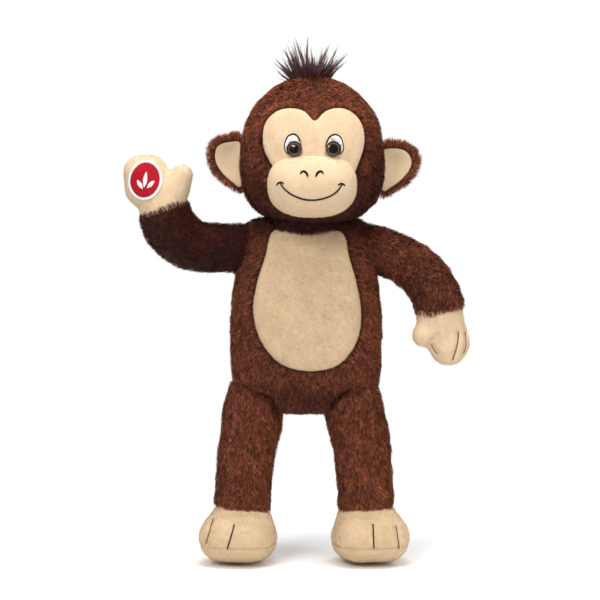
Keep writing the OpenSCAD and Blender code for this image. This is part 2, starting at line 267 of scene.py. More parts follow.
class Surface:
    """A piece's triangles, for finding and measuring points on it."""

    def __init__(self, ob):
        me = ob.data
        me.calc_loop_triangles()
        self.p = points(ob)
        tri = np.empty(len(me.loop_triangles) * 3, np.int32)
        me.loop_triangles.foreach_get("vertices", tri)
        self.tri = tri.reshape(-1, 3)
        self.n = read(me.vertex_normals, "vector")
        self.bvh = BVHTree.FromPolygons(self.p.tolist(), self.tri.tolist())

    def found(self, result):
        """The point that a search found and the smooth normal there, or None."""
        hit, _, i, _ = result
        if hit is None:
            return None
        hit, t = np.array(hit), self.tri[i]
        w = 1 / (np.linalg.norm(self.p[t] - hit, axis=1) + 0.3)
        return hit, unit((self.n[t] * w[:, None]).sum(0))

    def cast(self, start, way):
        return self.found(self.bvh.ray_cast(Vector(start), Vector(way)))

    def near(self, p):
        return self.found(self.bvh.find_nearest(Vector(p)))

    def aim(self, x, z):
        """Where the line from EYE through (x, z) meets the piece, or the nearest place to it."""
        d = unit(np.array([x, 0, z]) - EYE)
        return self.cast(EYE, d) or self.near(EYE + d * 1690)


def flat_view(p):
    """Where points lie on the middle plane as seen from EYE, as (x, z)."""
    k = (0 - EYE[1]) / (p[:, 1] - EYE[1])
    return EYE[[0, 2]] + (p[:, [0, 2]] - EYE[[0, 2]]) * k[:, None]


def edge_distance(q, outline):
    """Signed distance of points to a closed outline, positive inside."""
    a, b = outline, np.roll(outline, -1, 0)
    ab = b - a
    best = np.full(len(q), 1e9)
    inside = np.zeros(len(q), bool)
    for i in range(len(a)):
        t = np.clip(((q - a[i]) @ ab[i]) / (ab[i] @ ab[i] + 1e-9), 0, 1)
        best = np.minimum(best, np.linalg.norm(q - a[i] - t[:, None] * ab[i], axis=1))
        cross = (a[i, 1] > q[:, 1]) != (b[i, 1] > q[:, 1])
        at = a[i, 0] + (q[:, 1] - a[i, 1]) / (ab[i, 1] + 1e-12) * ab[i, 0]
        inside ^= cross & (q[:, 0] < at)
    return np.where(inside, best, -best)


def waves(p, size, seed):
    """Smooth noise from -1 to 1 that changes over about size millimetres."""
    rng = np.random.default_rng(seed)
    v = np.zeros(len(p))
    for _ in range(6):
        k = unit(rng.normal(size=3)) * 2 * np.pi / size * rng.uniform(0.6, 1.5)
        v += np.sin(p @ k + rng.uniform(0, 6.28))
    return np.clip(v / 3, -1, 1)


def groove(ob, paths, depth, width):
    """Presses stitched lines into the piece."""
    p = points(ob)
    n = Surface(ob).n
    tree = tree_of(np.concatenate([curve(q, 24) for q in paths]))
    d = np.array([tree.find(v)[2] for v in p])
    put(ob, p - n * (depth * np.exp(-(d / width) ** 2))[:, None])


# ------------------------------------------------------------------ stuffing by cloth

PRESSURE, FRAMES = 4.0, 20
CLOTH = {"quality": 5, "mass": 0.25, "tension_stiffness": 18, "compression_stiffness": 18,
         "shear_stiffness": 6, "bending_stiffness": 0.4, "use_pressure": True,
         "uniform_pressure_force": PRESSURE, "vertex_group_mass": "seam"}


def stuffed(jobs):
    """Blows each cloth skin up with its seams held still. jobs: (piece, held mask, cap in mm)."""
    rest = {}
    for ob, held, _ in jobs:
        rest[ob.name] = points(ob)
        g = ob.vertex_groups.new(name="seam")
        g.add([int(i) for i in np.flatnonzero(held)], 1.0, "REPLACE")
        m = ob.modifiers.new("stuffing", "CLOTH")
        for key, value in CLOTH.items():
            setattr(m.settings, key, value)
        m.settings.effector_weights.gravity = 0
        m.collision_settings.use_collision = False
        m.collision_settings.use_self_collision = False
        m.point_cache.frame_start, m.point_cache.frame_end = 1, FRAMES
    for f in range(1, FRAMES + 1):
        scene.frame_set(f)
    blown = {}
    for ob, _, _ in jobs:
        shape = ob.evaluated_get(bpy.context.evaluated_depsgraph_get()).to_mesh()
        blown[ob.name] = read(shape.vertices, "co") * MM
    for ob, _, cap in jobs:
        ob.modifiers.clear()
        ob.vertex_groups.clear()
        move = blown[ob.name] - rest[ob.name]
        far = np.linalg.norm(move, axis=1, keepdims=True)
        move *= np.minimum(1, cap / (far + 1e-9))
        put(ob, rest[ob.name] + move)
    scene.frame_set(1)


# ------------------------------------------------------------------ materials

class Shade:
    """A short way to write a node material."""

    def __init__(self, name):
        self.m = bpy.data.materials.new(name)
        self.m.use_nodes = True
        self.t = self.m.node_tree
        self.b = self.t.nodes["Principled BSDF"]

    def node(self, kind, **values):
        n = self.t.nodes.new("ShaderNode" + kind)
        for k, v in values.items():
            if hasattr(n, k):
                setattr(n, k, v)
            else:
                n.inputs[k.replace("_", " ")].default_value = v
        return n

    def link(self, a, b):
        self.t.links.new(a, b)

    def set(self, **values):
        for k, v in values.items():
            self.b.inputs[k.replace("_", " ")].default_value = v
        return self

    def place(self, scale):
        """Object coordinates times scale: 1000 makes a noise of scale 1 a millimetre wide."""
        co = self.node("TexCoord")
        mp = self.node("Mapping")
        mp.inputs["Scale"].default_value = (scale,) * 3
        self.link(co.outputs["Object"], mp.inputs["Vector"])
        return mp.outputs["Vector"]

    def noise(self, per_mm, detail=3.0):
        n = self.node("TexNoise", Scale=1.0, Detail=detail, Roughness=0.55)
        self.link(self.place(1000.0 * per_mm), n.inputs["Vector"])
        return n.outputs["Fac"]

    def fibres(self, **values):
        """Fine waves across the piece, for threads and ribbon."""
        n = self.node("TexWave", **values)
        self.link(self.place(1000.0), n.inputs["Vector"])
        return n.outputs["Fac"]

    def ramp(self, value, *stops):
        r = self.node("ValToRGB")
        e = r.color_ramp.elements
        while len(e) < len(stops):
            e.new(0.5)
        for i, (at, colour) in enumerate(stops):
            e[i].position = at
            e[i].color = (*colour, 1)
        self.link(value, r.inputs["Fac"])
        return r.outputs["Color"]

    def times(self, first, *more):
        """Colours multiplied together."""
        for other in more:
            n = self.node("Mix", data_type="RGBA", blend_type="MULTIPLY")
            n.inputs[0].default_value = 1.0
            self.link(first, n.inputs[6])
            self.link(other, n.inputs[7])
            first = n.outputs[2]
        return first

    def colour(self, socket):
        self.link(socket, self.b.inputs["Base Color"])
        return self

    def bump(self, height, strength, mm):
        n = self.node("Bump")
        n.inputs["Strength"].default_value = strength
        n.inputs["Distance"].default_value = mm / MM
        self.link(height, n.inputs["Height"])
        old = self.b.inputs["Normal"].links
        if old:
            self.link(old[0].from_socket, n.inputs["Normal"])
        self.link(n.outputs["Normal"], self.b.inputs["Normal"])
        return self


def strand_material(name, root, mid, tip, sheen, spread):
    """Pile: dark at the root, as painted shade deep among the strands, lighter to the tip, each strand
    different by the spread. The "pile" colour of a point holds its strand's tone, its place along it, and
    half its painted shade, which darkens the colour below 1 and lightens it above 1 as painted light."""
    s = Shade(name)
    a = s.node("Attribute", attribute_name="pile")
    pile = s.node("SeparateColor")
    s.link(a.outputs["Color"], pile.inputs["Color"])

    def grey(change):
        return (1 + change * spread,) * 3

    along = s.ramp(pile.outputs["Green"], (0.0, root), (0.45, mid), (1.0, tip))
    darkest = tuple(1 - v * spread for v in (0.45, 0.48, 0.44))
    lightest = tuple(1 + v * spread for v in (1, 0.95, 0.8))
    tone = s.ramp(pile.outputs["Red"], (0.0, darkest), (0.5, grey(-0.08)), (1.0, lightest))
    speckle = s.ramp(s.noise(1 / 3.2, 2.0), (0.32, grey(-0.26)), (0.68, grey(0.26)))
    patchy = s.ramp(s.noise(1 / 13.0), (0.3, grey(-0.26)), (0.7, grey(0.2)))
    # painted shade below 1 and painted light above 1; the deepest painted shade turns purple
    shade = s.ramp(pile.outputs["Blue"], (0.0, (0, 0, 0)), (0.14, (0.27, 0.2, 0.36)),
                   (0.5, (1, 1, 1)), (1.0, (2, 2, 2)))
    s.colour(s.times(along, tone, s.times(patchy, speckle), shade))
    s.set(Roughness=0.6, Sheen_Weight=sheen, Sheen_Roughness=0.45, Specular_IOR_Level=0.18,
          Sheen_Tint=(1.0, 0.72, 0.55, 1))
    return s.m


def pile_material(name, low, high):
    """Short velvety pile: tiny tufts, brushed patches and soft creases."""
    s = Shade(name)
    patchy = s.ramp(s.noise(1 / 14.0), (0.30, low), (0.70, high))
    fine = s.ramp(s.noise(1.1, 2.0), (0.25, (0.93, 0.925, 0.91)), (0.75, (1.04, 1.04, 1.04)))
    s.colour(s.times(patchy, fine))
    s.set(Roughness=0.86, Sheen_Weight=0.1, Sheen_Roughness=0.4, Specular_IOR_Level=0.2,
          Sheen_Tint=(1.0, 0.9, 0.75, 1))
    s.bump(s.noise(1 / 9.0), 0.35, 1.2)
    s.bump(s.noise(1.6, 2.0), 0.45, 0.35)
    return s.m


def thread_material(name, colour, rough):
    """Twisted thread, a little uneven in colour."""
    s = Shade(name)
    low, high = tuple(0.75 * v for v in colour), tuple(min(1, 1.15 * v) for v in colour)
    s.colour(s.ramp(s.noise(0.8, 2.0), (0.3, low), (0.7, high)))
    s.bump(s.fibres(Scale=1.6, Distortion=1.5), 0.35, 0.15)
    s.set(Roughness=rough, Specular_IOR_Level=0.25)
    return s.m


def backing_material(name):
    """The knitted cloth that the long pile grows from, its colour darkened to nearly black as painted shade deep in the
    pile.
    """
    s = Shade(name)
    s.colour(s.ramp(s.noise(0.9), (0.3, (0.030, 0.010, 0.006)), (0.7, (0.06, 0.019, 0.010))))
    s.bump(s.noise(1.2, 2.0), 0.6, 0.5).set(Roughness=0.95, Sheen_Weight=0.1)
    return s.m


# the brown pile's dark root colour is painted shade deep among the strands
FUR = strand_material("brown_pile", (0.055, 0.013, 0.006), (0.140, 0.036, 0.0155),
                      (0.290, 0.090, 0.042), 0.04, 1.25)
SHADED_BACKING = backing_material("pile_backing_shaded")
TAN = pile_material("tan_short_pile", (0.69, 0.51, 0.33), (0.75, 0.57, 0.38))
# a darker copy of the tan pile: painted shade on the belly and feet
TAN_SHADED = pile_material("tan_short_pile_shaded", (0.56, 0.405, 0.25), (0.65, 0.48, 0.305))
TAN_PALE = pile_material("tan_short_pile_pale", (0.70, 0.51, 0.33), (0.76, 0.57, 0.38))
FUZZ = strand_material("tan_nap", (0.69, 0.51, 0.33), (0.72, 0.54, 0.355), (0.80, 0.62, 0.42), 0.1, 0.12)
# a darker copy of the tan nap: painted shade on the belly and feet
FUZZ_SHADED = strand_material("tan_nap_shaded", (0.58, 0.42, 0.26), (0.60, 0.44, 0.275),
                            (0.67, 0.50, 0.32), 0.1, 0.12)
FUZZ_PALE = strand_material("tan_nap_pale", (0.70, 0.52, 0.34), (0.73, 0.55, 0.365),
                            (0.80, 0.62, 0.43), 0.1, 0.12)
TUFT = strand_material("tuft_fibre", (0.026, 0.011, 0.012), (0.055, 0.024, 0.027),
                       (0.17, 0.095, 0.095), 0.1, 0.6)
DARK = thread_material("dark_thread", (0.007, 0.005, 0.005), 0.7)
BROWN_THREAD = thread_material("brown_thread", (0.085, 0.038, 0.022), 0.7)
TAN_THREAD = thread_material("tan_thread", (0.42, 0.28, 0.16), 0.45)
WHITE = thread_material("white_thread", (0.86, 0.86, 0.84), 0.5)
RED = thread_material("red_field", (0.44, 0.003, 0.016), 0.6)


# ------------------------------------------------------------------ pile, stitches and panels

def tag_pile(me, count, per, tone, along, shade):
    """Stores each point's strand tone, place along the strand and half its painted shade in the colour
    "pile", and gives each strand a small cell of its own in the map "OFBake"."""
    col = np.ones((count * per, 4), np.float32)
    col[:, 0] = np.repeat(tone, per)
    col[:, 1] = np.tile(along, count)
    col[:, 2] = np.repeat(shade, per) / 2
    me.color_attributes.new("pile", "FLOAT_COLOR", "POINT").data.foreach_set("color", col.ravel())
    grid = int(math.ceil(math.sqrt(count)))
    cell = np.arange(count)
    corner = np.empty((count, per, 2))
    corner[:, :, 0] = (cell % grid)[:, None] + 0.5
    corner[:, :, 1] = (cell // grid)[:, None] + 0.15 + 0.7 * np.asarray(along)[None]
    corner[:, 0::2, 0] -= 0.3
    corner[:, 1::2, 0] += 0.3
    uv = (corner / grid).reshape(-1, 2)
    index = np.empty(len(me.loops), np.int32)
    me.loops.foreach_get("vertex_index", index)
    me.uv_layers.new(name="OFBake").data.foreach_set("uv", uv[index].astype(np.float32).ravel())


def raw_mesh(name, verts, loops, starts):
    """A large mesh from plain arrays: faces start at starts in the list of corners, loops."""
    me = bpy.data.meshes.new(name)
    me.vertices.add(len(verts))
    me.vertices.foreach_set("co", (verts / MM).astype(np.float32).ravel())
    me.loops.add(len(loops))
    me.loops.foreach_set("vertex_index", loops.astype(np.int32))
    me.polygons.add(len(starts))
    me.polygons.foreach_set("loop_start", starts.astype(np.int32))
    me.update(calc_edges=True)
    me.validate()
    ob = bpy.data.objects.new(name, me)
    scene.collection.objects.link(ob)
    return ob


def strands(name, roots, mids, tips, normals, width, tone, shade, material, rng):
    """Each strand is a ribbon of three points, tapering to the last."""
    n = len(roots)
    way = unit(tips - roots)
    w = unit(np.cross(way, normals) + rng.normal(scale=0.05, size=(n, 3)))
    a = rng.uniform(-0.9, 0.9, n)[:, None]
    w = w * np.cos(a) + np.cross(way, w) * np.sin(a)
    half = (width * rng.uniform(0.75, 1.25, n) / 2)[:, None] * w
    v = np.stack([roots - half, roots + half, mids - half * 0.85, mids + half * 0.85, tips], 1)
    face = np.cross(w, way)
    face *= np.sign((face * normals).sum(1))[:, None]
    soft = unit(0.72 * normals + 0.5 * face + rng.normal(scale=0.13, size=(n, 3)))
    base = np.arange(n)[:, None] * 5
    loops = (base + [0, 1, 3, 2, 2, 3, 4]).ravel()
    starts = (np.arange(n)[:, None] * 7 + [0, 4]).ravel()
    ob = raw_mesh(name, v.reshape(-1, 3), loops, starts)
    me = ob.data
    tag_pile(me, n, 5, tone, np.array([0, 0, 0.5, 0.5, 1.0]), shade)
    me.shade_smooth()
    me.normals_split_custom_set_from_vertices(np.repeat(soft, 5, 0).tolist())
    me.materials.append(material)
    return ob


def sample(surface, per_cm2, rng):
    """Even random points over a surface."""
    a, b, c = (surface.p[surface.tri[:, k]] for k in range(3))
    area = np.linalg.norm(np.cross(b - a, c - a), axis=1) / 2
    n = int(area.sum() / 100 * per_cm2)
    i = rng.choice(len(area), n, p=area / area.sum())
    u, v = rng.random(n), rng.random(n)
    flip = u + v > 1
    u, v = np.where(flip, 1 - u, u), np.where(flip, 1 - v, v)
    w = np.stack([1 - u - v, u, v], 1)[:, :, None]
    t = surface.tri[i]
    return (surface.p[t] * w).sum(1), unit((surface.n[t] * w).sum(1))


STRAND_W, NAP_W = 0.36, 0.34         # how wide a strand of each pile is
LOCK = 5             # strands that lean together


def fur(name, skin, comb, seed, per_cm2=215, length=4.9, rise=2.9, keep=None, shade=1.0, low=None):
    """Long pile over a skin. comb gives the lay of the pile, keep says where it grows,
    low says how far it is pressed down (1 is not at all), and shade paints the pile's colour:
    painted shade below 1, painted light above 1."""
    rng = np.random.default_rng(seed)
    p, n = sample(Surface(skin), per_cm2 * (1), rng)
    if keep is not None:
        ok = keep(p, n)
        p, n = p[ok], n[ok]
    count = len(p)
    d = comb(p, n)
    d = unit(d - n * (d * n).sum(1)[:, None])
    turn = 0.42 * waves(p, 28, seed + 1) + 0.3 * waves(p, 8, seed + 2) + rng.normal(scale=0.32, size=count)
    turn = turn[:, None]
    d = d * np.cos(turn) + np.cross(n, d) * np.sin(turn)
    size = length * rng.uniform(0.72, 1.12, count)[:, None]
    press = np.ones(count) if low is None else low(p)
    lift = (rise * rng.uniform(0.55, 1.25, count) * (1 + 0.25 * waves(p, 15, seed + 3)) * press)[:, None]
    roots = p - n * 0.5
    mids = p + n * lift * 0.78 + d * size * 0.40
    tips = p + n * lift + d * size * 0.86
    # strands lean together into small locks
    heads = rng.choice(count, max(1, count // LOCK), replace=False)
    tree = tree_of(p[heads])
    owner = heads[np.array([tree.find(q)[1] for q in p])]
    pull = rng.uniform(0.1, 0.5, count)[:, None]
    swing = rng.normal(scale=0.6, size=(count, 3))
    swing += n * rng.normal(scale=0.35, size=(count, 1))
    goal = (tips + swing)[owner]
    tips = tips + (goal - tips) * pull
    mids = mids + ((mids + swing * 0.4)[owner] - mids) * pull * 0.4
    lock_tone = rng.normal(scale=0.10, size=count)[owner]
    tone = np.clip(0.5 + lock_tone + rng.normal(scale=0.21, size=count), 0, 1)
    # painted shade below 1, painted light above 1
    dark = np.full(count, float(shade)) if np.isscalar(shade) else shade(p)
    return strands(name, roots, mids, tips, n, STRAND_W, tone, dark, FUR, rng)


def nap(name, skins, seed, material, per_cm2=70, length=1.5, keep=None):
    """Short soft fibres over the tan cloth."""
    rng = np.random.default_rng(seed)
    ps, ns = [], []
    for skin in skins:
        p, n = sample(Surface(skin), per_cm2 * (1), rng)
        if keep is not None:
            ok = keep(p, n)
            p, n = p[ok], n[ok]
        ps.append(p)
        ns.append(n)
    p, n = np.concatenate(ps), np.concatenate(ns)
    count = len(p)
    side = rng.normal(size=(count, 3)) + [0, 0, -0.8]
    side = unit(side - n * (side * n).sum(1)[:, None])
    size = length * rng.uniform(0.6, 1.15, count)[:, None]
    mids = p + n * size * 0.35 + side * size * 0.25
    tips = p + n * size * 0.6 + side * size * 0.7
    tone = np.clip(0.5 + rng.normal(scale=0.14, size=count), 0, 1)
    return strands(name, p - n * 0.3, mids, tips, n, NAP_W, tone, np.ones(count), material, rng)


def stitches(name, line, width, length, pitch, material, slant=0.0, lift=0.25, closed=False):
    """Overlapping stitches along a line of (point, normal). width may vary along the line.
    slant 0 lays them along the line, 1 across it."""
    line = list(line) + list(line[:1] if closed else [])
    p = np.array([q[0] for q in line])
    normals = np.array([q[1] for q in line])
    s = np.concatenate([[0], np.cumsum(np.linalg.norm(np.diff(p, axis=0), axis=1))])
    parts = []
    ang = np.linspace(0, 2 * np.pi, 6, endpoint=False)
    tangents = np.gradient(p, s + np.arange(len(s)) * 1e-9, axis=0)
    for k, a in enumerate(np.arange(0, s[-1], pitch)):
        c, n, t = (np.array([np.interp(a, s, v[:, i]) for i in range(3)]) for v in (p, normals, tangents))
        n, t = unit(n), unit(t)
        w = width(a / s[-1]) if callable(width) else width
        across = np.cross(n, t)
        way = unit(t * (1 - slant) + across * slant)
        long_ = length if slant == 0 else max(w, 0.3)
        thick = w if slant == 0 else pitch * 1.7
        side = np.cross(n, way)
        rings = []
        for u, f in ((-0.5, 0.35), (-0.3, 0.9), (0.0, 1.0), (0.3, 0.9), (0.5, 0.35)):
            mid = c + way * u * long_ + n * (lift * (1 - 3.2 * u * u) + 0.05 * (k % 2))
            rings.append(mid + thick / 2 * f * (np.cos(ang)[:, None] * side + 0.75 * np.sin(ang)[:, None] * n))
        parts.append(lofted(rings))
    ob = mesh(name, *join_parts(parts))
    ob.data.materials.append(material)
    return ob


def on(surface, pts, lift=0.0):
    """Line of (point, normal) where (x, z) points fall on a surface."""
    out = []
    for x, z in pts:
        p, n = surface.aim(x, z)
        out.append((p + n * lift, n))
    return out


EDGE_STEPS = [0, 0.05, 0.12, 0.22, 0.36, 0.55, 0.78, 1.0]        # rings over a panel's rounded edge


def panel(name, outline, surface, height, edge, material, rings, thick=1.1, sink=0.8):
    """A cloth panel sewn on along its outline, plump inside it, with its rim sunk in."""
    c = outline.mean(0)
    r = np.linalg.norm(outline - c, axis=1).mean()
    d = np.unique(np.concatenate([EDGE_STEPS, np.linspace(1.0, r / edge, rings)]) * edge)
    d = d[d < r - 0.5]
    verts = []
    n = len(outline)
    for k, off in enumerate(d):
        for q in c + (outline - c) * (1 - off / r):
            p, normal = surface.aim(*q)
            h = height * math.sqrt(max(0.0, 1 - (1 - min(off / edge, 1)) ** 2))
            verts.append(p + normal * (h - (sink if k == 0 else 0)))
    p, normal = surface.aim(*c)
    verts.append(p + normal * height)
    last = (len(d) - 1) * n
    faces = ring_faces(len(d), n) + [(last + i, last + (i + 1) % n, len(verts) - 1) for i in range(n)]
    ob = mesh(name, np.array(verts), faces)
    # face outwards, whichever way the outline runs
    if read(ob.data.polygons, "normal")[:, 1].mean() > 0:
        ob.data.flip_normals()
    soften(ob, 2)
    m = ob.modifiers.new("cloth", "SOLIDIFY")
    m.thickness, m.offset = thick / MM, -1
    settle(ob)
    ob.data.materials.append(material)
    return ob


# ------------------------------------------------------------------ skins

ARCH_W, ARCH_H = 21.6, 21.4          # half width of the torso's arch over a leg, and its height

# height, half width and half depth of the torso
TORSO = [(128, 34, 20), (132.5, 49, 26.5), (142, 59, 31), (152, 63.8, 34.5), (164, 65.4, 39),
         (182, 65.9, 42.4), (205, 65.9, 43), (228, 64.3, 42), (246, 62, 39.5), (262, 60, 35),
         (274, 59, 30), (282, 57.5, 25), (288, 55.5, 21), (292.5, 50, 16), (296, 38, 11)]
TORSO_X = 7.8


def outward(side):
    return -1 if side == "right" else 1


def under_arch(p, side):
    """(outward, up) from the hip, and how far out of the leg's arch a point is (below 1 is inside)."""
    d = (p[:, [0, 2]] - HIP[side][[0, 2]]) * [outward(side), 1]
    inner = (np.abs(d[:, 0] / ARCH_W) ** 2.4 + np.abs(d[:, 1] / ARCH_H) ** 2.4) ** (1 / 2.4)
    return d, np.where(d[:, 0] > 0, np.abs(d[:, 1] / ARCH_H), inner)


def torso_shape():
    """The body, with an arch cut out of its lower corners for each leg."""
    rings = [oval(TORSO_X, MID_Y, z, a - INSET, b - INSET) for z, a, b in TORSO]
    rings[0][:, 2] += INSET * 0.6
    rings[-1][:, 2] -= INSET
    ob = remesh(mesh("torso_cover", *lofted(rings)), 4.0, 6)
    p = points(ob)
    for side in SIDES:
        d, f = under_arch(p, side)
        near = (f < 1) & (p[:, 2] > HIP[side][2] - 3)
        outer = near & (d[:, 0] > 0)
        inner = near & ~outer
        p[outer, 2] = HIP[side][2] + ARCH_H
        f = np.maximum(f, 0.2)
        p[inner, 0] += (d[:, 0] / f - d[:, 0])[inner] * outward(side)
        p[inner, 2] = (HIP[side][2] + d[:, 1] / f)[inner]
    put(ob, p)
    soften(ob, 2)
    return settle(ob)


def head_shape():
    """Round above, with fuller cheeks below, and a little flatter at the back."""
    rings = []
    for a in np.linspace(-86, 86, 34):
        up = a > 0
        reach, n = (HEAD_UP, 2.25) if up else (HEAD_DOWN, 2.75)
        h = (reach - INSET) * abs(math.sin(math.radians(a))) ** (2 / n)
        r = (HEAD_R - INSET) * abs(math.cos(math.radians(a))) ** (2 / n)
        ring = oval(HEAD[0], HEAD[1], HEAD[2] + (h if up else -h), r, r, 2.0)
        back = ring[:, 1] > HEAD[1]
        ring[back, 1] = HEAD[1] + (ring[back, 1] - HEAD[1]) * 0.96
        rings.append(ring)
    return remesh(mesh("head_cover", *lofted(rings)), 4.0, 3)


def muzzle_shape():
    """A broad stuffed oval, half buried in the face."""
    rings = []
    for a in np.linspace(-84, 84, 22):
        x = 37.2 * np.sign(a) * abs(math.sin(math.radians(a))) ** (2 / 2.45)
        r = math.cos(math.radians(a)) ** (2 / 2.45)
        t = np.linspace(0, 2 * np.pi, 40, endpoint=False)
        rings.append(np.stack([np.full(40, MUZZLE[0] + x), MUZZLE[1] + 25.6 * r * np.cos(t),
                               MUZZLE[2] + 27.2 * r * np.sin(t)], 1))
    return remesh(mesh("muzzle_cover", *lofted(rings)), 3.0, 4)


# middle lines and radii of the limbs, from hip to ankle and from shoulder to wrist
LEG_PATH = {
    "right": [(-38.2, MID_Y, 130), (-38.9, MID_Y, 115), (-42.8, MID_Y, 98), (-44.8, MID_Y, 80),
              (-46.4, MID_Y, 62), (-47.2, MID_Y, 46.5)],
    "left": [(48.6, MID_Y, 130), (52.4, MID_Y, 115), (55.6, MID_Y, 98), (57.3, MID_Y, 80),
             (58.7, MID_Y, 62), (59.6, MID_Y, 45.5)],
}
LEG_R = [27.2, 27.4, 26.2, 25.5, 25.4, 25.8]
ARM_PATH = {
    "right": [(-51.5, MID_Y, 268.8), (-74, MID_Y, 269.2), (-86.6, 9.5, 271), (-97, 7.5, 276.2),
              (-104.8, 5, 283.2), (-109.6, 3, 291), (-112.6, 1.4, 298.5)],
    "left": [(63.6, MID_Y, 268.6), (84.6, 8.5, 261.5), (94.6, 6, 256.3), (103, 4, 250.2),
             (110, 1.6, 243), (115, -0.8, 234.6), (118.8, -3, 226), (121, -5, 218.5)],
}
ARM_R = {
    "right": [22.3, 22.6, 23.0, 24.2, 24.6, 24.5, 24.2],
    "left": [22.2, 21.8, 21.8, 22.2, 22.6, 22.2, 22.4, 22.9],
}

# a hand's palm and fingers, its thumb, and its wrist, each a skin round balls
BALLS = {
    "right": [
        [(-132.8, 0, 333.4, 14.6, 0.9), (-124.5, 0, 334.6, 14.0, 0.9), (-131.3, 0, 318.5, 14.6, 0.92),
         (-119, 0, 329, 12.6, 0.95), (-116, 1, 312, 17.5, 0.9)],
        [(-97.2, -2.5, 331, 9.4, 1.0), (-103.5, -0.5, 318, 12.6, 1.0), (-110, 0.8, 309, 15.5, 1.0)],
        [(-116, 0, 314, 18.5, 0.85), (-113.6, 0.8, 303, 20.3, 0.88)],
    ],
    "left": [
        [(128.2, -7, 186, 16.6, 0.75), (130.6, -7, 183, 13.0, 0.9), (134, -7, 188.4, 12.8, 0.9),
         (125, -6, 200, 18.6, 0.72)],
        [(107.4, -11, 195.4, 10.3, 1.0), (112.5, -9, 199, 11.2, 1.0), (119, -6, 207, 15, 0.8)],
        [(121, -5.4, 212, 20.2, 0.82), (124, -6, 201, 19.0, 0.74)],
    ],
}

# height above the hip, outer edge, inner edge and half depth of a leg's top, for the right leg
LEG_TOP = [(25.5, -50, -38, 12), (24.5, -53.5, -33, 18.5), (21.5, -55.2, -28, 22.5),
           (17, -56.8, -22.5, 24), (12, -58.4, -18.4, 24.4), (6, -60.0, -15.2, 24.4)]
CUFF_TILT = {"right": -0.178, "left": 0.112}             # slope of a trouser cuff, rise over run


def leg_shape(side):
    """A stuffed leg whose broad top fills the torso's arch."""
    rings = []
    for h, outer, inner, deep in LEG_TOP:
        if side == "left":
            outer, inner = 11.2 - outer, 10.2 - inner
        rings.append(oval((outer + inner) / 2, MID_Y, HIP[side][2] + h, abs(inner - outer) / 2, deep, 2.4))
    for x, y, z, r in curve([list(q) + [r] for q, r in zip(LEG_PATH[side], LEG_R)], 22):
        rings.append(oval(x, y, z, r - INSET, (r - INSET) * 0.98, 2.2))
    for drop, less in ((1.2, 5.0), (2.0, 7.5), (2.4, 11.0)):
        rings.append(oval(x, y, z - drop, r - less, (r - less) * 0.97, 2.1))
    ob = remesh(mesh(side + "_leg_cover", *lofted(rings)), 3.6, 3)
    p = points(ob)
    p[:, 2] += CUFF_TILT[side] * (p[:, 0] - x) * np.clip((62 - p[:, 2]) / 14, 0, 1)
    put(ob, p)
    return ob


def hand_shape(side):
    return remesh(mesh(side + "_hand_cover", *join_parts([hull(b) for b in BALLS[side]])), 2.6, 5)


SOLE_H = 17.5        # how high the seam round the sole is


FOOT_TURN = 9         # degrees that a foot points outwards


def foot_local(side):
    """Takes points of a foot that stands straight, round its ankle, to where it is."""
    a = math.radians(FOOT_TURN * outward(side))
    base = np.array([ANKLE[side][0] + (2.2 if side == "right" else 1.2), MID_Y, 0])

    def place(p):
        x, y, z = np.moveaxis(np.asarray(p, float), -1, 0)
        return np.stack([x * math.cos(a) - y * math.sin(a), x * math.sin(a) + y * math.cos(a), z], -1) + base
    return place


def foot_shape(side):
    """Round toes, instep and heel, an ankle above them, and a nearly flat sole."""
    balls = [(x, y, z, r, 1.0) for x, y, z, r in (
        (-11.5, -25, 23.5, 20.7), (11.5, -25, 23.5, 20.7), (0, -28.5, 24, 20),
        (-13, -8, 20.8, 19.8), (13, -8, 20.8, 19.8), (-10, -8, 27, 21), (10, -8, 27, 21),
        (-8, 11, 18.8, 18.6), (8, 11, 18.8, 18.6))]
    ankle = [(-4, 0, 33, 23.3, 0.95), (4, 0, 33, 23.3, 0.95), (0, -8, 28, 24, 1.0)]
    v, f = join_parts([hull(balls), hull(ankle)])
    ob = remesh(mesh(side + "_foot_cover", foot_local(side)(v), f), 3.0, 5)
    p = points(ob)
    low = p[:, 2] < 4
    p[low, 2] = 0.3 + (p[low, 2] + 1.4).clip(0) ** 1.2 / 5.4 ** 1.2 * 3.7
    put(ob, p)
    return ob


torso, head, muzzle = torso_shape(), head_shape(), muzzle_shape()
leg, sleeve, hand, foot = {}, {}, {}, {}
for side in SIDES:
    leg[side] = leg_shape(side)
    tube = limb(ARM_PATH[side], [r - INSET for r in ARM_R[side]])
    sleeve[side] = remesh(mesh(side + "_sleeve_cover", *tube), 3.6, 3)
    hand[side], foot[side] = hand_shape(side), foot_shape(side)

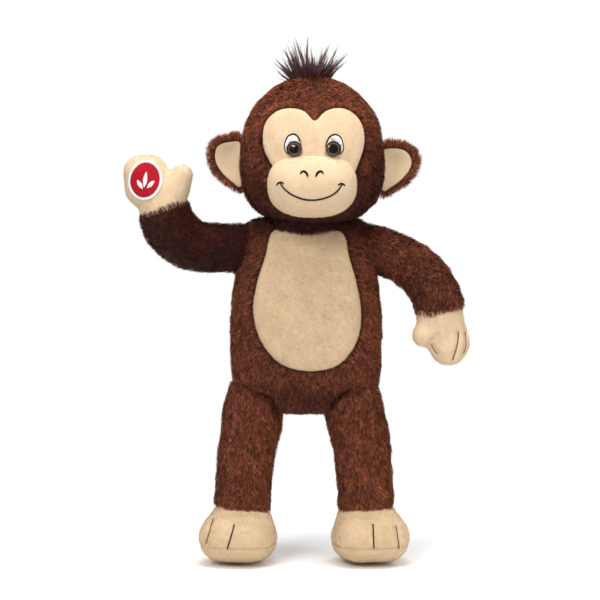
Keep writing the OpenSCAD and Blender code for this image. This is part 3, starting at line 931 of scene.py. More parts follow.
# outlines and lines on the plane y = 0, (x, z)
BELLY = closed_curve([(-19.1, 284.6), (9, 283.6), (37.5, 282.8), (44.0, 262), (50.6, 238), (54.2, 213),
                      (50.5, 189), (35, 169.5), (10.1, 164.3), (-14, 170.5), (-30.5, 190),
                      (-37.0, 215), (-33.5, 240), (-26.5, 263)], 96)
FACE = closed_curve([(15.0, 376.4), (6.3, 384.6), (-6, 387.2), (-18, 384.0), (-26.4, 375), (-28.6, 362.6),
                     (-27, 351), (-21, 339.5), (-16, 330), (-4, 318), (14, 312), (30, 318),
                     (46.5, 330), (51.5, 340.5), (55.6, 352), (56.8, 362.6), (54.0, 375),
                     (45.4, 384.4), (34.2, 387.4), (23.4, 384.2)], 96)
EYE_OUTLINE = {
    "right": closed_curve([(-3.1, 365.4), (-7.6, 363.2), (-10.2, 357.6), (-10.1, 352.6), (-7.6, 349.0),
                           (-3.2, 347.8), (1.5, 349.0), (3.5, 352.6), (3.2, 357.6), (0.8, 363.2)], 60),
    "left": closed_curve([(32.1, 365.0), (27.7, 363.0), (24.8, 357.6), (24.6, 352.6), (26.8, 349.0),
                          (31.6, 347.8), (36.5, 349.0), (39.0, 352.6), (38.7, 357.6), (36.4, 363.0)], 60),
}
TOES = {
    "right": [[(-53.8, 32), (-56.4, 22.5), (-59.4, 12.6)], [(-71.7, 37.4), (-75, 26), (-77.9, 16.6)]],
    "left": [[(65.0, 32), (65.4, 22), (65.8, 12.2)], [(84.8, 30.8), (86.2, 21.5), (87.2, 12.8)]],
}
LEFT_FINGERS = [[(137.2, 196.9), (137.0, 191), (135.4, 183.1), (132.4, 174)],
                [(143.1, 196.9), (143.7, 186.2), (141.5, 178.8)],
                [(114.3, 187.0), (116.0, 183.4), (119.0, 179.4)]]
THUMB_CREASE = [(109.0, 186.2), (114.5, 190.0), (119.6, 195.4)]
# the same three lines on the far side of the waving hand
RIGHT_FINGERS = [[(-143, 342), (-140.5, 334), (-138, 325)],
                 [(-132.5, 347), (-131, 337), (-129, 327)],
                 [(-121.5, 347), (-121, 338), (-120, 328)]]


# ------------------------------------------------------------------ swelling the skins

def near_outline(ob, outline, width):
    """The points of a piece's front that lie close to a panel's edge."""
    d = np.abs(edge_distance(flat_view(points(ob)), outline))
    return (d < width) & (Surface(ob).n[:, 1] < 0.1)


def near_lines(p, lines, front):
    """The points in front of a depth that lie close to stitched lines."""
    held = np.zeros(len(p), bool)
    for line in lines:
        apart = np.linalg.norm(flat_view(p)[:, None] - curve(line, 12)[None], axis=2)
        held |= (np.min(apart, axis=1) < 2.2) & (p[:, 1] < front)
    return held


p = points(torso)
held = near_outline(torso, BELLY, 3.2) | (p[:, 2] > 280)
for side in SIDES:
    held |= (under_arch(p, side)[1] < 1.1) & (p[:, 2] < 158)
jobs = [(torso, held, 2.2), (head, near_outline(head, FACE, 3.0), 1.4), (muzzle, points(muzzle)[:, 1] > -46, 1.6)]
for side in SIDES:
    wrist = ARM_PATH[side][-1]
    z = points(leg[side])[:, 2]
    jobs.append((leg[side], (z < 48) | (z > 142), 1.8))
    jobs.append((sleeve[side], np.linalg.norm(points(sleeve[side]) - wrist, axis=1) < 23, 1.6))
    p = points(hand[side])
    held = np.linalg.norm(p - wrist, axis=1) < 22
    if side == "left":
        held |= near_lines(p, LEFT_FINGERS, -6)
    jobs.append((hand[side], held, 1.2))
    p = points(foot[side])
    held = (p[:, 2] < 1.0) | (np.abs(p[:, 2] - SOLE_H) < 1.4) | (p[:, 2] > 48)
    jobs.append((foot[side], held | near_lines(p, TOES[side], -8), 1.3))
stuffed(jobs)

for side in SIDES:
    for ob in (hand[side], foot[side]):
        subdivide(ob)
    # the seam over the sole
    p = points(foot[side])
    n = Surface(foot[side]).n
    put(foot[side], p - n * (0.9 * np.exp(-((p[:, 2] - SOLE_H) / 1.5) ** 2))[:, None])
    s = Surface(foot[side])
    groove(foot[side], [[s.aim(*q)[0] for q in line] for line in TOES[side]], 1.7, 2.3)
s = Surface(hand["left"])
groove(hand["left"], [[s.aim(*q)[0] for q in line] for line in LEFT_FINGERS + [THUMB_CREASE]], 1.7, 2.2)
subdivide(muzzle)


def from_behind(surface, x, z):
    """The place on a surface's far side at (x, z), or the nearest one, and its normal."""
    hit = surface.cast(np.array([x, 200.0, z]), np.array([0, -1.0, 0]))
    return hit or surface.near(np.array([x, 20.0, z]))


s = Surface(hand["right"])
groove(hand["right"], [[from_behind(s, *q)[0] for q in line] for line in RIGHT_FINGERS], 1.8, 2.2)

# ------------------------------------------------------------------ face, belly and ears

# the belly takes the darker tan copy, painted shade
belly = panel("belly_cover", BELLY, Surface(torso), 3.4, 7.0, TAN_SHADED, rings=12)
face = panel("face_cover", FACE, Surface(head), 3.0, 5.5, TAN_PALE, rings=12)

# the face is pulled flat under each eye
EYES = {}
for side, s in (("right", -1), ("left", 1)):
    a = math.radians(15 * s)
    at = np.array([13.9 + 61.2 * math.sin(a), 6.8 - 61.2 * math.cos(a), 351.8])
    way = np.array([0.9925 * math.sin(a), -0.9925 * math.cos(a), 0.1219])
    EYES[side] = (at, way)
p = points(face)
for at, way in EYES.values():
    h = (p - at) @ way
    r = np.linalg.norm(p - at - h[:, None] * way, axis=1)
    w = np.clip((15 - r) / 6.0, 0, 1)
    w = w * w * (3 - 2 * w)
    goal = np.where(h > -2, -0.2, h)
    p = p + way * ((goal - h) * w)[:, None]
put(face, p)

EARS = {
    "right": ([(-46, 369), (-57, 370), (-69.7, 366.5), (-75.8, 359.6), (-78.0, 350), (-77.2, 341), (-73.4, 332.3), (-67.6, 325),
               (-60.0, 319), (-52, 314.4), (-44, 313.5), (-42, 340)],
              [(-47, 359.5), (-58, 360.6), (-67.5, 357.5), (-70.4, 350), (-69.4, 341), (-64, 332), (-56.5, 324.5), (-47, 318.5), (-44, 338)]),
    "left": ([(70, 360.5), (80, 364.3), (91, 363.2), (101.5, 357), (105.8, 348), (105.6, 339), (103.0, 331), (98.6, 324),
              (90.8, 317), (80.5, 311.6), (70, 309.5), (67, 336)],
             [(72, 352.8), (82, 355.3), (92.5, 353), (98, 345), (96.8, 336), (90, 327), (82, 320.5), (72, 315), (69, 334)]),
}
ear_back, ear_lining = {}, {}


def ear_outline(side):
    lining = closed_curve(EARS[side][1], 60)
    return lining.mean(0) + (lining - lining.mean(0)) * [0.94, 0.91]


def ear_shape(side):
    """A flat stuffed ear, hollowed a little in front."""
    outline, _ = EARS[side]
    ring = closed_curve(outline, 56)
    ring[:, 1] = 340 + (ring[:, 1] - 340) * 0.93
    ring = EYE[[0, 2]] + (ring - EYE[[0, 2]]) * ((EYE[1] - 18.8) / EYE[1])   # at the ear's own depth
    c = ring.mean(0)
    ring = c + (ring - c) * (1 - 3.4 / np.linalg.norm(ring - c, axis=1))[:, None]
    rings = []
    for t, back in [(0.12, 0), (0.35, 0), (0.6, 0), (0.8, 0), (0.92, 0), (1.0, 0), (1.0, 1), (0.92, 1), (0.8, 1), (0.6, 1), (0.35, 1), (0.12, 1)]:
        h = 4.0 * math.sqrt(max(0.0, 1 - t ** 6)) + 0.9
        mid = 19.8 + 5.6 * (1 - t * t)
        q = c + (ring - c) * t
        y = mid + (h if back else -h * 0.55)
        rings.append(np.stack([q[:, 0], np.full(len(q), y), q[:, 1]], 1))
    return remesh(mesh(side + "_ear_cover", *lofted(rings)), 2.4, 3)


for side in SIDES:
    ear_back[side] = ear_shape(side)
    lining = ear_outline(side)
    ear_lining[side] = panel(side + "_ear_lining", lining, Surface(ear_back[side]), 1.0, 3.2, TAN, rings=8, thick=0.8)

# ------------------------------------------------------------------ embroidery

face_s, muzzle_s = Surface(face), Surface(muzzle)
made = {}
for side in SIDES:
    outline = EYE_OUTLINE[side]
    made[side + "_eye_white"] = panel(side + "_eye_white", outline, face_s, 0.75, 1.2, WHITE, rings=7, thick=0.5, sink=0.4)
    top = outline[:, 1].max()

    def rim(u, outline=outline, top=top):
        z = outline[int(u * len(outline)) % len(outline), 1]
        return 1.05 + 0.8 * max(0.0, 1 - (top - z) / 9.0)

    made[side + "_eye_rim"] = stitches(side + "_eye_rim", on(face_s, outline, 0.25), rim, 1.0, 0.42, DARK, slant=0.75, lift=0.35,
                                       closed=True)

smile = curve([(-14, 323.6), (-10, 318.6), (-3.4, 313.9), (4.8, 310.7), (13.0, 309.8), (21.3, 310.8), (29, 313.6), (34.5, 317.8), (37.8, 322.6)], 60)
ticks = [curve([(-17.2, 322.4), (-15.4, 324.4), (-13, 324.7), (-11, 323.6)], 10),
         curve([(34.8, 322.6), (36.8, 323.6), (39, 323.4), (40.8, 321.9)], 10)]
nose = [curve([(2.8, 332.0), (4.4, 333.9), (6.4, 334.0), (8.1, 332.4), (9.3, 329.6)], 14),
        curve([(22.2, 332.0), (21.0, 333.9), (19.2, 334.0), (17.2, 332.4), (15.8, 329.6)], 14)]


def taper(low, high):
    return lambda u: low + (high - low) * math.sin(math.pi * min(1.0, max(0.0, u))) ** 0.5


mouth = [stitches("mouth_line", on(muzzle_s, smile, 0.1), taper(1.1, 1.6), 1.0, 0.45, DARK, slant=0.8, lift=0.4)]
for i, t in enumerate(ticks):
    mouth.append(stitches("mouth_tick_%d" % i, on(muzzle_s, t, 0.1), taper(0.8, 1.6), 1.0, 0.45, DARK, slant=0.8, lift=0.4))
nostrils = [stitches("nostril_%d" % i, on(muzzle_s, t, 0.1), taper(0.7, 2.1), 1.0, 0.42, DARK, slant=0.8, lift=0.4)
            for i, t in enumerate(nose)]


def joined(name, obs):
    """One piece out of several."""
    parts = [(points(o), [tuple(f.vertices) for f in o.data.polygons]) for o in obs]
    m = obs[0].data.materials[0]
    for o in obs:
        bpy.data.objects.remove(o)
    ob = mesh(name, *join_parts(parts))
    ob.data.materials.append(m)
    return ob


mouth, nostrils = joined("smile_stitching", mouth), joined("nostril_stitching", nostrils)

toe_stitch, finger_stitch = {}, {}
for side in SIDES:
    s = Surface(foot[side])
    toe_stitch[side] = joined(side + "_toe_stitching", [
        stitches("t%d" % i, on(s, curve(t, 26), 0.1), 1.15 if i == 0 else 0.7, 3.0, 2.1, DARK, lift=0.25) for i, t in enumerate(TOES[side])])
    s = Surface(hand[side])
    if side == "left":
        rows = [on(s, curve(t, 24), 0.1) for t in LEFT_FINGERS]
    else:
        rows = [[from_behind(s, *q) for q in curve(t, 24)] for t in RIGHT_FINGERS]
    finger_stitch[side] = joined(side + "_finger_stitching", [
        stitches("f%d" % i, r, 0.9 if i == 0 else 0.6, 3.0, 2.1, BROWN_THREAD, lift=0.2) for i, r in enumerate(rows)])

# seam over each sole
sole_seam = {}
for side in SIDES:
    s = Surface(foot[side])
    place = foot_local(side)
    line = []
    for a in np.linspace(0, 2 * np.pi, 90, endpoint=False):
        start = place(np.array([90 * math.sin(a), -12 - 90 * math.cos(a), SOLE_H]))
        hit = s.cast(start, unit(place(np.array([0, -12, SOLE_H])) - start))
        if hit:
            line.append((hit[0] + hit[1] * 0.05, hit[1]))
    sole_seam[side] = stitches(side + "_sole_stitching", line, 0.4, 2.6, 2.9, TAN_THREAD, lift=0.0, closed=True)

# ------------------------------------------------------------------ badge, tuft, seams, roots

hand_s = Surface(hand["right"])
t = np.linspace(0, 2 * np.pi, 64, endpoint=False)
tilt = math.radians(-9)


def badge_ring(a, b):
    x, z = a * np.cos(t), b * np.sin(t)
    return np.stack([-128.6 + x * math.cos(tilt) - z * math.sin(tilt), 326.6 + x * math.sin(tilt) + z * math.cos(tilt)], 1)


badge_field = panel("badge_field", badge_ring(12.6, 15.0), hand_s, 0.7, 1.0, RED, rings=8, thick=0.6, sink=0.3)
badge_s = Surface(badge_field)
badge_border = stitches("badge_border", on(hand_s, badge_ring(13.3, 15.9), 0.35), 2.7, 1.0, 0.5, WHITE, slant=0.92, lift=0.55, closed=True)
leaf = []
for i, (cx, cz, ang, long_) in enumerate([(0, 1.5, 90, 13), (-4.6, -2.6, 128, 8.5), (4.6, -2.6, 52, 8.5)]):
    a = math.radians(ang) + tilt
    pts = [(-128.6 + cx + math.cos(a) * u, 326.6 + cz - 1 + math.sin(a) * u) for u in np.linspace(-long_ / 2, long_ / 2, 16)]
    leaf.append(stitches("leaf%d" % i, on(badge_s, pts, 0.1), lambda u: 0.4 + 3.4 * math.sin(math.pi * u) ** 0.9, 1.0, 0.5, WHITE, slant=0.85, lift=0.3))
badge_mark = joined("badge_mark", leaf)


def tuft_shape():
    """A spray of long straight fibres in pointed locks."""
    rng = np.random.default_rng(41)
    head_s = Surface(head)
    roots, mids, tips, tones = [], [], [], []
    for _ in range(86):
        rad, a = 17.0 * math.sqrt(rng.random()), rng.uniform(0, 2 * np.pi)
        base = np.array([11.2 + rad * math.cos(a), 6.8 + rad * 0.7 * math.sin(a), 440.0])
        hit = head_s.cast(base, np.array([0, 0, -1.0]))
        base = hit[0]
        out = (rad / 17.0) ** 1.5
        lean = np.array([math.cos(a) * out * 1.25, math.sin(a) * out * 0.8, 1.0])
        lean = unit(lean + rng.normal(scale=0.15, size=3))
        size = rng.uniform(19, 42) * (1 - 0.38 * out)
        tip = base + lean * size
        bow = unit(np.cross(lean, rng.normal(size=3))) * rng.uniform(0.5, 2.4)
        shade = rng.normal(scale=0.14)
        for _ in range(15):
            r = base + rng.normal(scale=1.1, size=3) * [1, 1, 0.3]
            e = tip + rng.normal(scale=0.28, size=3) - lean * rng.uniform(0, 1) ** 2 * 12
            if rng.random() < 0.1:
                e = e + rng.normal(scale=3.0, size=3)
            m = r + (e - r) * 0.5 + bow + rng.normal(scale=0.3, size=3)
            roots.append(r - lean * 2)
            mids.append(m)
            tips.append(e)
            tones.append(0.5 + shade + rng.normal(scale=0.15))
    roots, mids, tips = (np.array(v) for v in (roots, mids, tips))
    normals = unit(unit(mids - [11.2, 6.8, 415]) + np.array([0, -0.5, 0.2]))
    return strands("hair_tuft_fibres", roots, mids, tips, normals, 0.5, np.clip(tones, 0, 1), np.ones(len(roots)), TUFT, rng)


tuft = tuft_shape()

torso_s = Surface(torso)
rows = []
for z in np.linspace(194, 246, 28):
    rows.append(from_behind(torso_s, BACK_X, z))
back_seam = [stitches("bs", rows, 0.9, 3.4, 2.6, BROWN_THREAD, lift=0.6)]
for k, z in enumerate(np.linspace(196, 244, 8)):
    line = [from_behind(torso_s, BACK_X + u, z + 0.5 * u) for u in np.linspace(-3.2, 3.2, 6)]
    back_seam.append(stitches("b%d" % k, line, 0.9, 3.4, 2.2, BROWN_THREAD, lift=0.9))
back_seam = joined("closing_stitches", back_seam)

# blank care label, a ribbon hung from its sewn top edge
label = []
for k, z in enumerate(np.linspace(184, 152, 15)):
    u = k / 14
    y = from_behind(torso_s, 7.0, 186)[0][1] + 1.2 + 5.2 * u + 0.8 * math.sin(5.0 * u)
    label.append([(x, y + 0.5 * math.cos(x / 4.0 + u * 2), z) for x in np.linspace(-1, 15, 9)])
label = np.array(label).reshape(-1, 3)
care = mesh("care_ribbon", label, [(r * 9 + c, r * 9 + c + 1, (r + 1) * 9 + c + 1, (r + 1) * 9 + c) for r in range(14) for c in range(8)])
m = care.modifiers.new("cloth", "SOLIDIFY")
m.thickness = 0.45 / MM
settle(care)
satin = Shade("label_satin")
satin.colour(satin.ramp(satin.noise(0.5, 2.0), (0.3, (0.56, 0.54, 0.49)), (0.7, (0.66, 0.64, 0.59))))
satin.bump(satin.fibres(Scale=2.4), 0.2, 0.08).set(Roughness=0.35, Sheen_Weight=0.3)
care.data.materials.append(satin.m)


def gather(name, a, b, radius, pleats=16):
    """A short pleated sleeve of gathered cloth from a to b, in the backing darkened as painted shade in a joint."""
    a, b = np.asarray(a, float), np.asarray(b, float)
    way = unit(b - a)
    u = unit(np.cross(way, [0.3, 0.9, 0.31]))
    v = np.cross(way, u)
    ang = np.linspace(0, 2 * np.pi, pleats * 4, endpoint=False)
    rings = []
    for k, s in enumerate(np.linspace(0, 1, 9)):
        r = radius * (0.92 - 0.1 * math.sin(math.pi * s)) * (1 + 0.05 * np.sin(pleats * ang + 0.4 * k))
        rings.append(a + (b - a) * s + (r * np.cos(ang))[:, None] * u + (r * np.sin(ang))[:, None] * v)
    ob = mesh(name, *lofted(rings))
    ob.data.materials.append(SHADED_BACKING)
    return ob


# ------------------------------------------------------------------ long pile

def comb_down(p, n):
    d = np.zeros_like(p)
    d[:, 2] = -1
    return d


def away_from(q, outline, width):
    """Pushes the lay of the pile off a panel's edge, strongest at the edge."""
    a = edge_distance(q, outline)
    e = 1.0
    g = np.stack([edge_distance(q + [e, 0], outline) - a, edge_distance(q + [0, e], outline) - a], 1)
    w = np.clip(1 - np.abs(a) / width, 0, 1)
    return np.stack([-g[:, 0] * w, np.zeros(len(q)), -g[:, 1] * w], 1)


def torso_comb(p, n):
    d = comb_down(p, n)
    out = p[:, 0] - 7.8
    d[:, 0] += out / 90 + np.sign(out) * 1.7 * np.clip((np.abs(out) - 38) / 12, 0, 1) * np.clip((p[:, 2] - 236) / 14, 0, 1)
    front = (n[:, 1] < 0)[:, None]
    return d + 1.3 * away_from(flat_view(p), BELLY, 12) * front


def torso_keep(p, n):
    ok = ~((edge_distance(flat_view(p), BELLY) > 0.3) & (n[:, 1] < 0.2))
    for side in SIDES:
        ok &= ~((under_arch(p, side)[1] < 1.01) & (p[:, 2] < 156) & (n[:, 2] < -0.8))
    return ok


def torso_painted_shade(p):
    """Painted shade on the pile: darker under the chin, between the legs and beside the waving arm's shoulder."""
    under = 0.5 * np.clip((164 - p[:, 2]) / 20, 0, 1) * np.clip((52 - np.abs(p[:, 0] - 4.4)) / 20, 0, 1)
    neck = 0.45 * np.clip((p[:, 2] - 268) / 16, 0, 1)
    arm = 0.45 * np.clip((-28 - p[:, 0]) / 20, 0, 1) * np.clip((p[:, 2] - 242) / 14, 0, 1) * np.clip((20 - p[:, 1]) / 14, 0, 1)
    return (1.0 - under - neck) * (1 - arm)


# Painted shade and painted light on the head's pile: darker towards the chin and on its left side, lighter on top
def head_painted_light_and_shade(p):
    dark = 0.3 * np.clip((p[:, 0] - 40) / 25, 0, 1)
    return (0.22 + 0.98 * np.clip((p[:, 2] - 290) / 80, 0, 1)) * (1 - dark)


def torso_low(p):
    back = (p[:, 1] > 25) & (p[:, 2] > 190) & (p[:, 2] < 250)
    return np.where(back, np.clip(np.abs(p[:, 0] - BACK_X) / 5, 0.25, 1), 1.0)


def head_comb(p, n):
    d = p - np.array([12.9, 2.0, 421.0])
    d[:, 2] -= 14
    d = unit(d)
    front = (n[:, 1] < 0)[:, None]
    return d + 1.5 * away_from(flat_view(p), FACE, 16) * front


def head_keep(p, n):
    return ~((edge_distance(flat_view(p), FACE) > 0.3) & (n[:, 1] < 0.1)) & (np.linalg.norm(p - [12.6, -42.9, 321.3], axis=1) > 22)


def head_low(p):
    return 0.85 + 0.2 * np.clip((p[:, 2] - 300) / 30, 0, 1) - 0.45 * np.clip((p[:, 2] - 382) / 18, 0, 1)


def sleeve_comb(side):
    path = curve(ARM_PATH[side], 60)
    way = unit(np.gradient(path, axis=0))
    tree = tree_of(path)
    return lambda p, n: way[[tree.find(q)[1] for q in p]] + np.array([0, 0, -0.15])


def sleeve_keep(side):
    end, way = np.array(ARM_PATH[side][-1]), unit(np.array(ARM_PATH[side][-1]) - np.array(ARM_PATH[side][-2]))
    return lambda p, n: ~(((p - end) @ way > 1.5) & ((n @ way) > 0.75))


def raised_arm_painted_shade(p):
    """Painted shade on the waving arm's pile, deepest towards the shoulder and on its front."""
    return 0.26 + 0.12 * np.clip((-70 - p[:, 0]) / 40, 0, 1) + 0.4 * np.clip((p[:, 1] - 8) / 14, 0, 1)


def leg_keep(p, n):
    return ~((n[:, 2] < -0.75) & (p[:, 2] < 60)) & ~((n[:, 2] > 0.8) & (p[:, 2] > 146))


def leg_low(side):
    x0 = LEG_PATH[side][0][0] + (15 if side == "left" else -16)
    x1 = LEG_PATH[side][-1][0] + (15 if side == "left" else -16)

    def low(p):
        line = x0 + (x1 - x0) * (130 - p[:, 2]) / 80 + 1.5 * np.sin(p[:, 2] / 9)
        return np.where(p[:, 1] < 5, np.clip(np.abs(p[:, 0] - line) / 3.5, 0.35, 1), 1.0)
    return low


def ear_comb(side):
    c = np.array([-55.0, 20.0, 342.0]) if side == "right" else np.array([82.0, 20.0, 337.0])
    return lambda p, n: (p - c) * [1.0, 0.5, 1.0]


def ear_keep(side):
    lining = ear_outline(side)
    return lambda p, n: ~((edge_distance(flat_view(p), lining) > 0.6) & (n[:, 1] < 0.35))


def front_half(keep, front):
    return lambda p, n: keep(p, n) & ((p[:, 1] < MID_Y) == front)


# the gathered neck under the chin: its backing and its pile, shade 0.24, are painted nearly black as the shade under
# the head
neck_rings = [oval(7.6, MID_Y, z, a, b, 2.2) for z, a, b in ((277, 26, 18), (283, 31, 25), (290, 33, 28), (297, 33, 29), (302, 30, 26))]
neck = remesh(mesh("neck_gather", *lofted(neck_rings)), 3.6, 2)
neck.data.materials.append(SHADED_BACKING)
# the torso's and head's pile take painted shade and painted light from their shade functions
pelt = {
    "torso_front": fur("torso_front_pile", torso, torso_comb, 11, keep=front_half(torso_keep, True), low=torso_low, shade=torso_painted_shade),
    "torso_back": fur("torso_back_pile", torso, torso_comb, 13, keep=front_half(torso_keep, False), low=torso_low, shade=torso_painted_shade),
    "head_front": fur("head_front_pile", head, head_comb, 12, keep=front_half(head_keep, True), low=head_low, shade=head_painted_light_and_shade),
    "head_back": fur("head_back_pile", head, head_comb, 14, keep=front_half(head_keep, False), low=head_low, shade=head_painted_light_and_shade),
    "neck": fur("neck_pile", neck, comb_down, 15, per_cm2=150, length=6.5, rise=3.4, shade=0.24),
}
# painted light on the legs' and ears' pile, painted shade on the sleeves' pile
for i, side in enumerate(SIDES):
    pelt["leg_" + side] = fur(side + "_leg_pile", leg[side], comb_down, 20 + i, keep=leg_keep, low=leg_low(side), shade=1.1)
    pelt["sleeve_" + side] = fur(side + "_sleeve_pile", sleeve[side], sleeve_comb(side), 30 + i, keep=sleeve_keep(side),
                                 shade=raised_arm_painted_shade if side == "right" else 0.85)
    pelt["ear_" + side] = fur(side + "_ear_pile", ear_back[side], ear_comb(side), 50 + i, keep=ear_keep(side), length=6.6, rise=2.6,
                              per_cm2=170, shade=1.45)

# the belly's and feet's nap take the darker tan nap copy, painted shade
naps = {
    "belly": nap("belly_nap", [belly], 61, material=FUZZ_SHADED),
    "face": nap("face_nap", [face, muzzle], 62, per_cm2=50, length=1.0, material=FUZZ_PALE,
                keep=lambda p, n: (n[:, 1] < 0.35) & np.all([edge_distance(flat_view(p), EYE_OUTLINE[s]) < -1.6 for s in SIDES], axis=0)
                & np.all([np.linalg.norm(p - at, axis=1) > 8.5 for at, _ in EYES.values()], axis=0)),
}
for i, side in enumerate(SIDES):
    naps["hand_" + side] = nap(side + "_hand_nap", [hand[side]], 64 + i, FUZZ, length=1.4,
                               keep=(lambda p, n: ~((edge_distance(flat_view(p), badge_ring(14.6, 17.2)) > 0) & (n[:, 1] < 0)))
                               if side == "right" else None)
    naps["foot_" + side] = nap(side + "_foot_nap", [foot[side]], 66 + i, length=1.4, keep=lambda p, n: p[:, 2] > 1.5,
                               material=FUZZ_SHADED)

# ------------------------------------------------------------------ looks of the plain pieces

# the skins under the long pile take the backing darkened as painted shade
for ob in [torso, head] + [d[s] for d in (leg, sleeve, ear_back) for s in SIDES]:
    ob.data.materials.append(SHADED_BACKING)
muzzle.data.materials.append(TAN_PALE)
for side in SIDES:
    hand[side].data.materials.append(TAN)
    # the feet take the darker tan copy, painted shade
    foot[side].data.materials.append(TAN_SHADED)

# eyes: an iris painted in rings round the way that each eye looks
for side in SIDES:
    at, way = EYES[side]
    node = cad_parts["eye_" + side]
    s = Shade("eye_plastic_" + side)
    co = s.node("TexCoord")
    off = s.node("VectorMath", operation="SUBTRACT")
    off.inputs[1].default_value = tuple((at - 2.77 * way) / MM)      # the middle of the dome's sphere
    s.link(co.outputs["Object"], off.inputs[0])
    cross = s.node("VectorMath", operation="CROSS_PRODUCT")
    look = unit([0.139 if side == "left" else -0.139, -0.988, 0.064])
    cross.inputs[1].default_value = tuple(look)
    s.link(off.outputs["Vector"], cross.inputs[0])
    size = s.node("VectorMath", operation="LENGTH")
    s.link(cross.outputs["Vector"], size.inputs[0])
    scale = s.node("Math", operation="MULTIPLY")
    scale.inputs[1].default_value = 1000 / 6.5
    s.link(size.outputs["Value"], scale.inputs[0])
    dark = (0.006, 0.006, 0.008)
    iris = s.ramp(scale.outputs["Value"], (0.0, dark), (0.5, dark), (0.57, (0.035, 0.016, 0.009)), (0.67, (0.075, 0.036, 0.017)),
                  (0.73, (0.26, 0.15, 0.08)), (0.77, (0.04, 0.02, 0.012)), (0.80, dark), (1.0, dark))
    fleck = s.ramp(s.noise(1.6, 3.0), (0.3, (0.7, 0.7, 0.7)), (0.7, (1.3, 1.25, 1.2)))
    s.colour(s.times(iris, fleck))
    s.set(Roughness=0.05, Coat_Weight=0.5, Coat_Roughness=0.02, Specular_IOR_Level=0.5)
    node.data.materials.clear()
    node.data.materials.append(s.m)
    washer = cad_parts["eye_washer_" + side]
    w = Shade("washer_plastic_" + side)
    w.colour(w.ramp(w.noise(0.4, 2.0), (0.3, (0.74, 0.74, 0.72)), (0.7, (0.84, 0.84, 0.82))))
    w.set(Roughness=0.38)
    washer.data.materials.clear()
    washer.data.materials.append(w.m)

# ------------------------------------------------------------------ what each piece rides on

def fit(ob, body, slot, *nodes):
    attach(ob, body)
    if nodes:
        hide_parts(*nodes)


fit(torso, "torso", "brown_fur", "torso_skin", "torso_stuffing")
fit(pelt["torso_front"], "torso", "brown_fur")
fit(pelt["torso_back"], "torso", "brown_fur")
fit(belly, "torso", "tan_pile", "belly_panel")
fit(naps["belly"], "torso", "tan_pile")
fit(back_seam, "torso", "brown_thread", "closing_seam")
fit(care, "torso", "label_satin", "care_label")
fit(head, "head", "brown_fur", "head_skin", "head_stuffing")
fit(pelt["head_front"], "head", "brown_fur")
fit(pelt["head_back"], "head", "brown_fur")
fit(face, "head", "tan_pile", "face_patch")
fit(muzzle, "head", "tan_pile", "muzzle_skin")
fit(naps["face"], "head", "tan_pile")
fit(tuft, "head", "tuft_fibre", "hair_tuft")
fit(mouth, "head", "dark_thread", "smile_thread")
fit(nostrils, "head", "dark_thread", "nostril_threads")
fit(neck, "neck", "brown_fur", "neck_root")
fit(pelt["neck"], "neck", "brown_fur")
for i, side in enumerate(SIDES):
    s = (-1, 1)[i]
    fit(made[side + "_eye_white"], "head", "white_thread", "eye_white_" + side)
    fit(made[side + "_eye_rim"], "head", "dark_thread")
    for ob, slot, nodes in ((ear_back[side], "brown_fur", ["ear_back_" + side]), (pelt["ear_" + side], "brown_fur", []),
                            (ear_lining[side], "tan_pile", ["ear_lining_" + side])):
        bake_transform(ob)
        if nodes:
            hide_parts(*nodes)
    shoulder = np.array([-56.6, MID_Y, 268.0]) if s < 0 else np.array([70.4, MID_Y, 268.0])
    # gathers at the shoulder and hip, darkened as painted shade in the joints
    plug = gather(side + "_shoulder_gather", shoulder + [-s * 32, 0, 0], shoulder + [-s * 20, 0, 0], 9, 12)
    fit(plug, "shoulder_" + side, "brown_fur", "shoulder_root_" + side)
    plug = gather(side + "_hip_gather", HIP[side] + [0, 0, 24], HIP[side] + [0, 0, 36], 14, 14)
    fit(plug, "hip_" + side, "brown_fur", "hip_root_" + side)
    for ob in (leg[side], pelt["leg_" + side]):
        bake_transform(ob)
    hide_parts("leg_skin_" + side, "leg_stuffing_" + side)
    start, end = (((-92, 9, 271.5), (-108.5, 4, 286)), ((96, 6, 256.5), (113, 0, 240)))[i]
    for ob in (sleeve[side], pelt["sleeve_" + side]):
        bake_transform(ob)
    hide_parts(*["%s_%s_%s" % (a, b, side) for a in ("upper_arm", "forearm") for b in ("skin", "stuffing")])
    fit(hand[side], "hand_" + side, "tan_pile", "hand_skin_" + side, "hand_stuffing_" + side)
    fit(naps["hand_" + side], "hand_" + side, "tan_pile")
    fit(finger_stitch[side], "hand_" + side, "brown_thread", "finger_threads_" + side)
    fit(foot[side], "foot_" + side, "tan_pile", "foot_upper_" + side, "foot_sole_" + side, "foot_stuffing_" + side)
    fit(naps["foot_" + side], "foot_" + side, "tan_pile")
    fit(toe_stitch[side], "foot_" + side, "dark_thread", "toe_threads_" + side)
    fit(sole_seam[side], "foot_" + side, "brown_thread")
fit(badge_field, "hand_right", "red_felt", "paw_badge_field")
fit(badge_border, "hand_right", "white_thread", "paw_badge_border")
fit(badge_mark, "hand_right", "white_thread")

# ------------------------------------------------------------------ floor, light and camera

floor = mesh("floor", [(-1600, -1600, 0), (1600, -1600, 0), (1600, 1600, 0), (-1600, 1600, 0)], [(0, 1, 2, 3)], smooth=False)
f = Shade("pale_floor")
f.set(Base_Color=(0.92, 0.92, 0.92, 1), Roughness=0.9, Specular_IOR_Level=0.1)
co = f.node("TexCoord")
size = f.node("VectorMath", operation="LENGTH")
f.link(co.outputs["Object"], size.inputs[0])
fade = f.ramp(size.outputs["Value"], (0.0, (1, 1, 1)), (0.22, (1, 1, 1)), (0.62, (0, 0, 0)))
f.link(fade, f.b.inputs["Alpha"])
floor.data.materials.append(f.m)


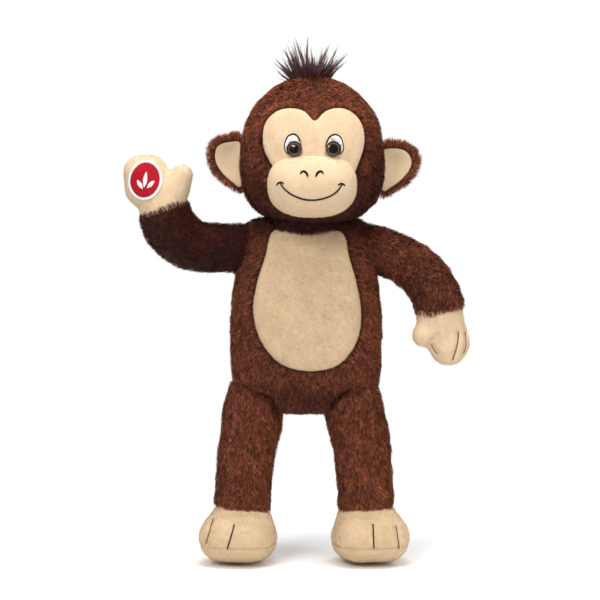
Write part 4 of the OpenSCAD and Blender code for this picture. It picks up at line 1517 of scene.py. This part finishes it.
def lamp(name, at, target, size, watts, colour=(1, 1, 1), mirrored=False):
    d = bpy.data.lights.new(name, "AREA")
    d.shape, d.size, d.energy, d.color = "DISK", size, watts, colour
    ob = bpy.data.objects.new(name, d)
    ob.location = at
    ob.visible_glossy = mirrored
    ob.rotation_euler = (Vector(target) - Vector(at)).to_track_quat("-Z", "Y").to_euler()
    scene.collection.objects.link(ob)


lamp("key", (-0.9, -1.6, 1.5), (0, 0, 0.24), 0.9, 20, (1.0, 0.985, 0.96), mirrored=True)
lamp("fill", (1.4, -1.2, 0.7), (0, 0, 0.22), 1.2, 9)
lamp("top", (0.0, -0.35, 1.7), (0, 0, 0.2), 1.0, 20)
lamp("rim", (0.9, 1.3, 1.0), (0, 0, 0.25), 0.8, 9)

world = bpy.data.worlds.new("studio")
world.use_nodes = True
wt = world.node_tree
back = wt.nodes["Background"]
back.inputs["Color"].default_value = (1, 1, 1, 1)
back.inputs["Strength"].default_value = 0.55
plain = wt.nodes.new("ShaderNodeBackground")
plain.inputs["Color"].default_value = (1, 1, 1, 1)
plain.inputs["Strength"].default_value = 1.0
dim = wt.nodes.new("ShaderNodeBackground")
dim.inputs["Color"].default_value = (1, 1, 1, 1)
dim.inputs["Strength"].default_value = 0.1
ray = wt.nodes.new("ShaderNodeLightPath")
glossy, mixer = wt.nodes.new("ShaderNodeMixShader"), wt.nodes.new("ShaderNodeMixShader")
wt.links.new(ray.outputs["Is Glossy Ray"], glossy.inputs[0])
wt.links.new(back.outputs[0], glossy.inputs[1])
wt.links.new(dim.outputs[0], glossy.inputs[2])
wt.links.new(ray.outputs["Is Camera Ray"], mixer.inputs[0])
wt.links.new(glossy.outputs[0], mixer.inputs[1])
wt.links.new(plain.outputs[0], mixer.inputs[2])
wt.links.new(mixer.outputs[0], wt.nodes["World Output"].inputs["Surface"])
scene.world = world
scene.view_settings.view_transform = "Standard"

cam = bpy.data.objects.new("camera", bpy.data.cameras.new("camera"))
cam.data.lens, cam.data.sensor_width = 120, 36
cam.data.clip_start, cam.data.clip_end = 0.1, 20
cam.location = Vector(EYE / MM)
cam.rotation_euler = (Vector((0.00255, 0, 0.225)) - cam.location).to_track_quat("-Z", "Y").to_euler()
scene.collection.objects.link(cam)
scene.camera = cam
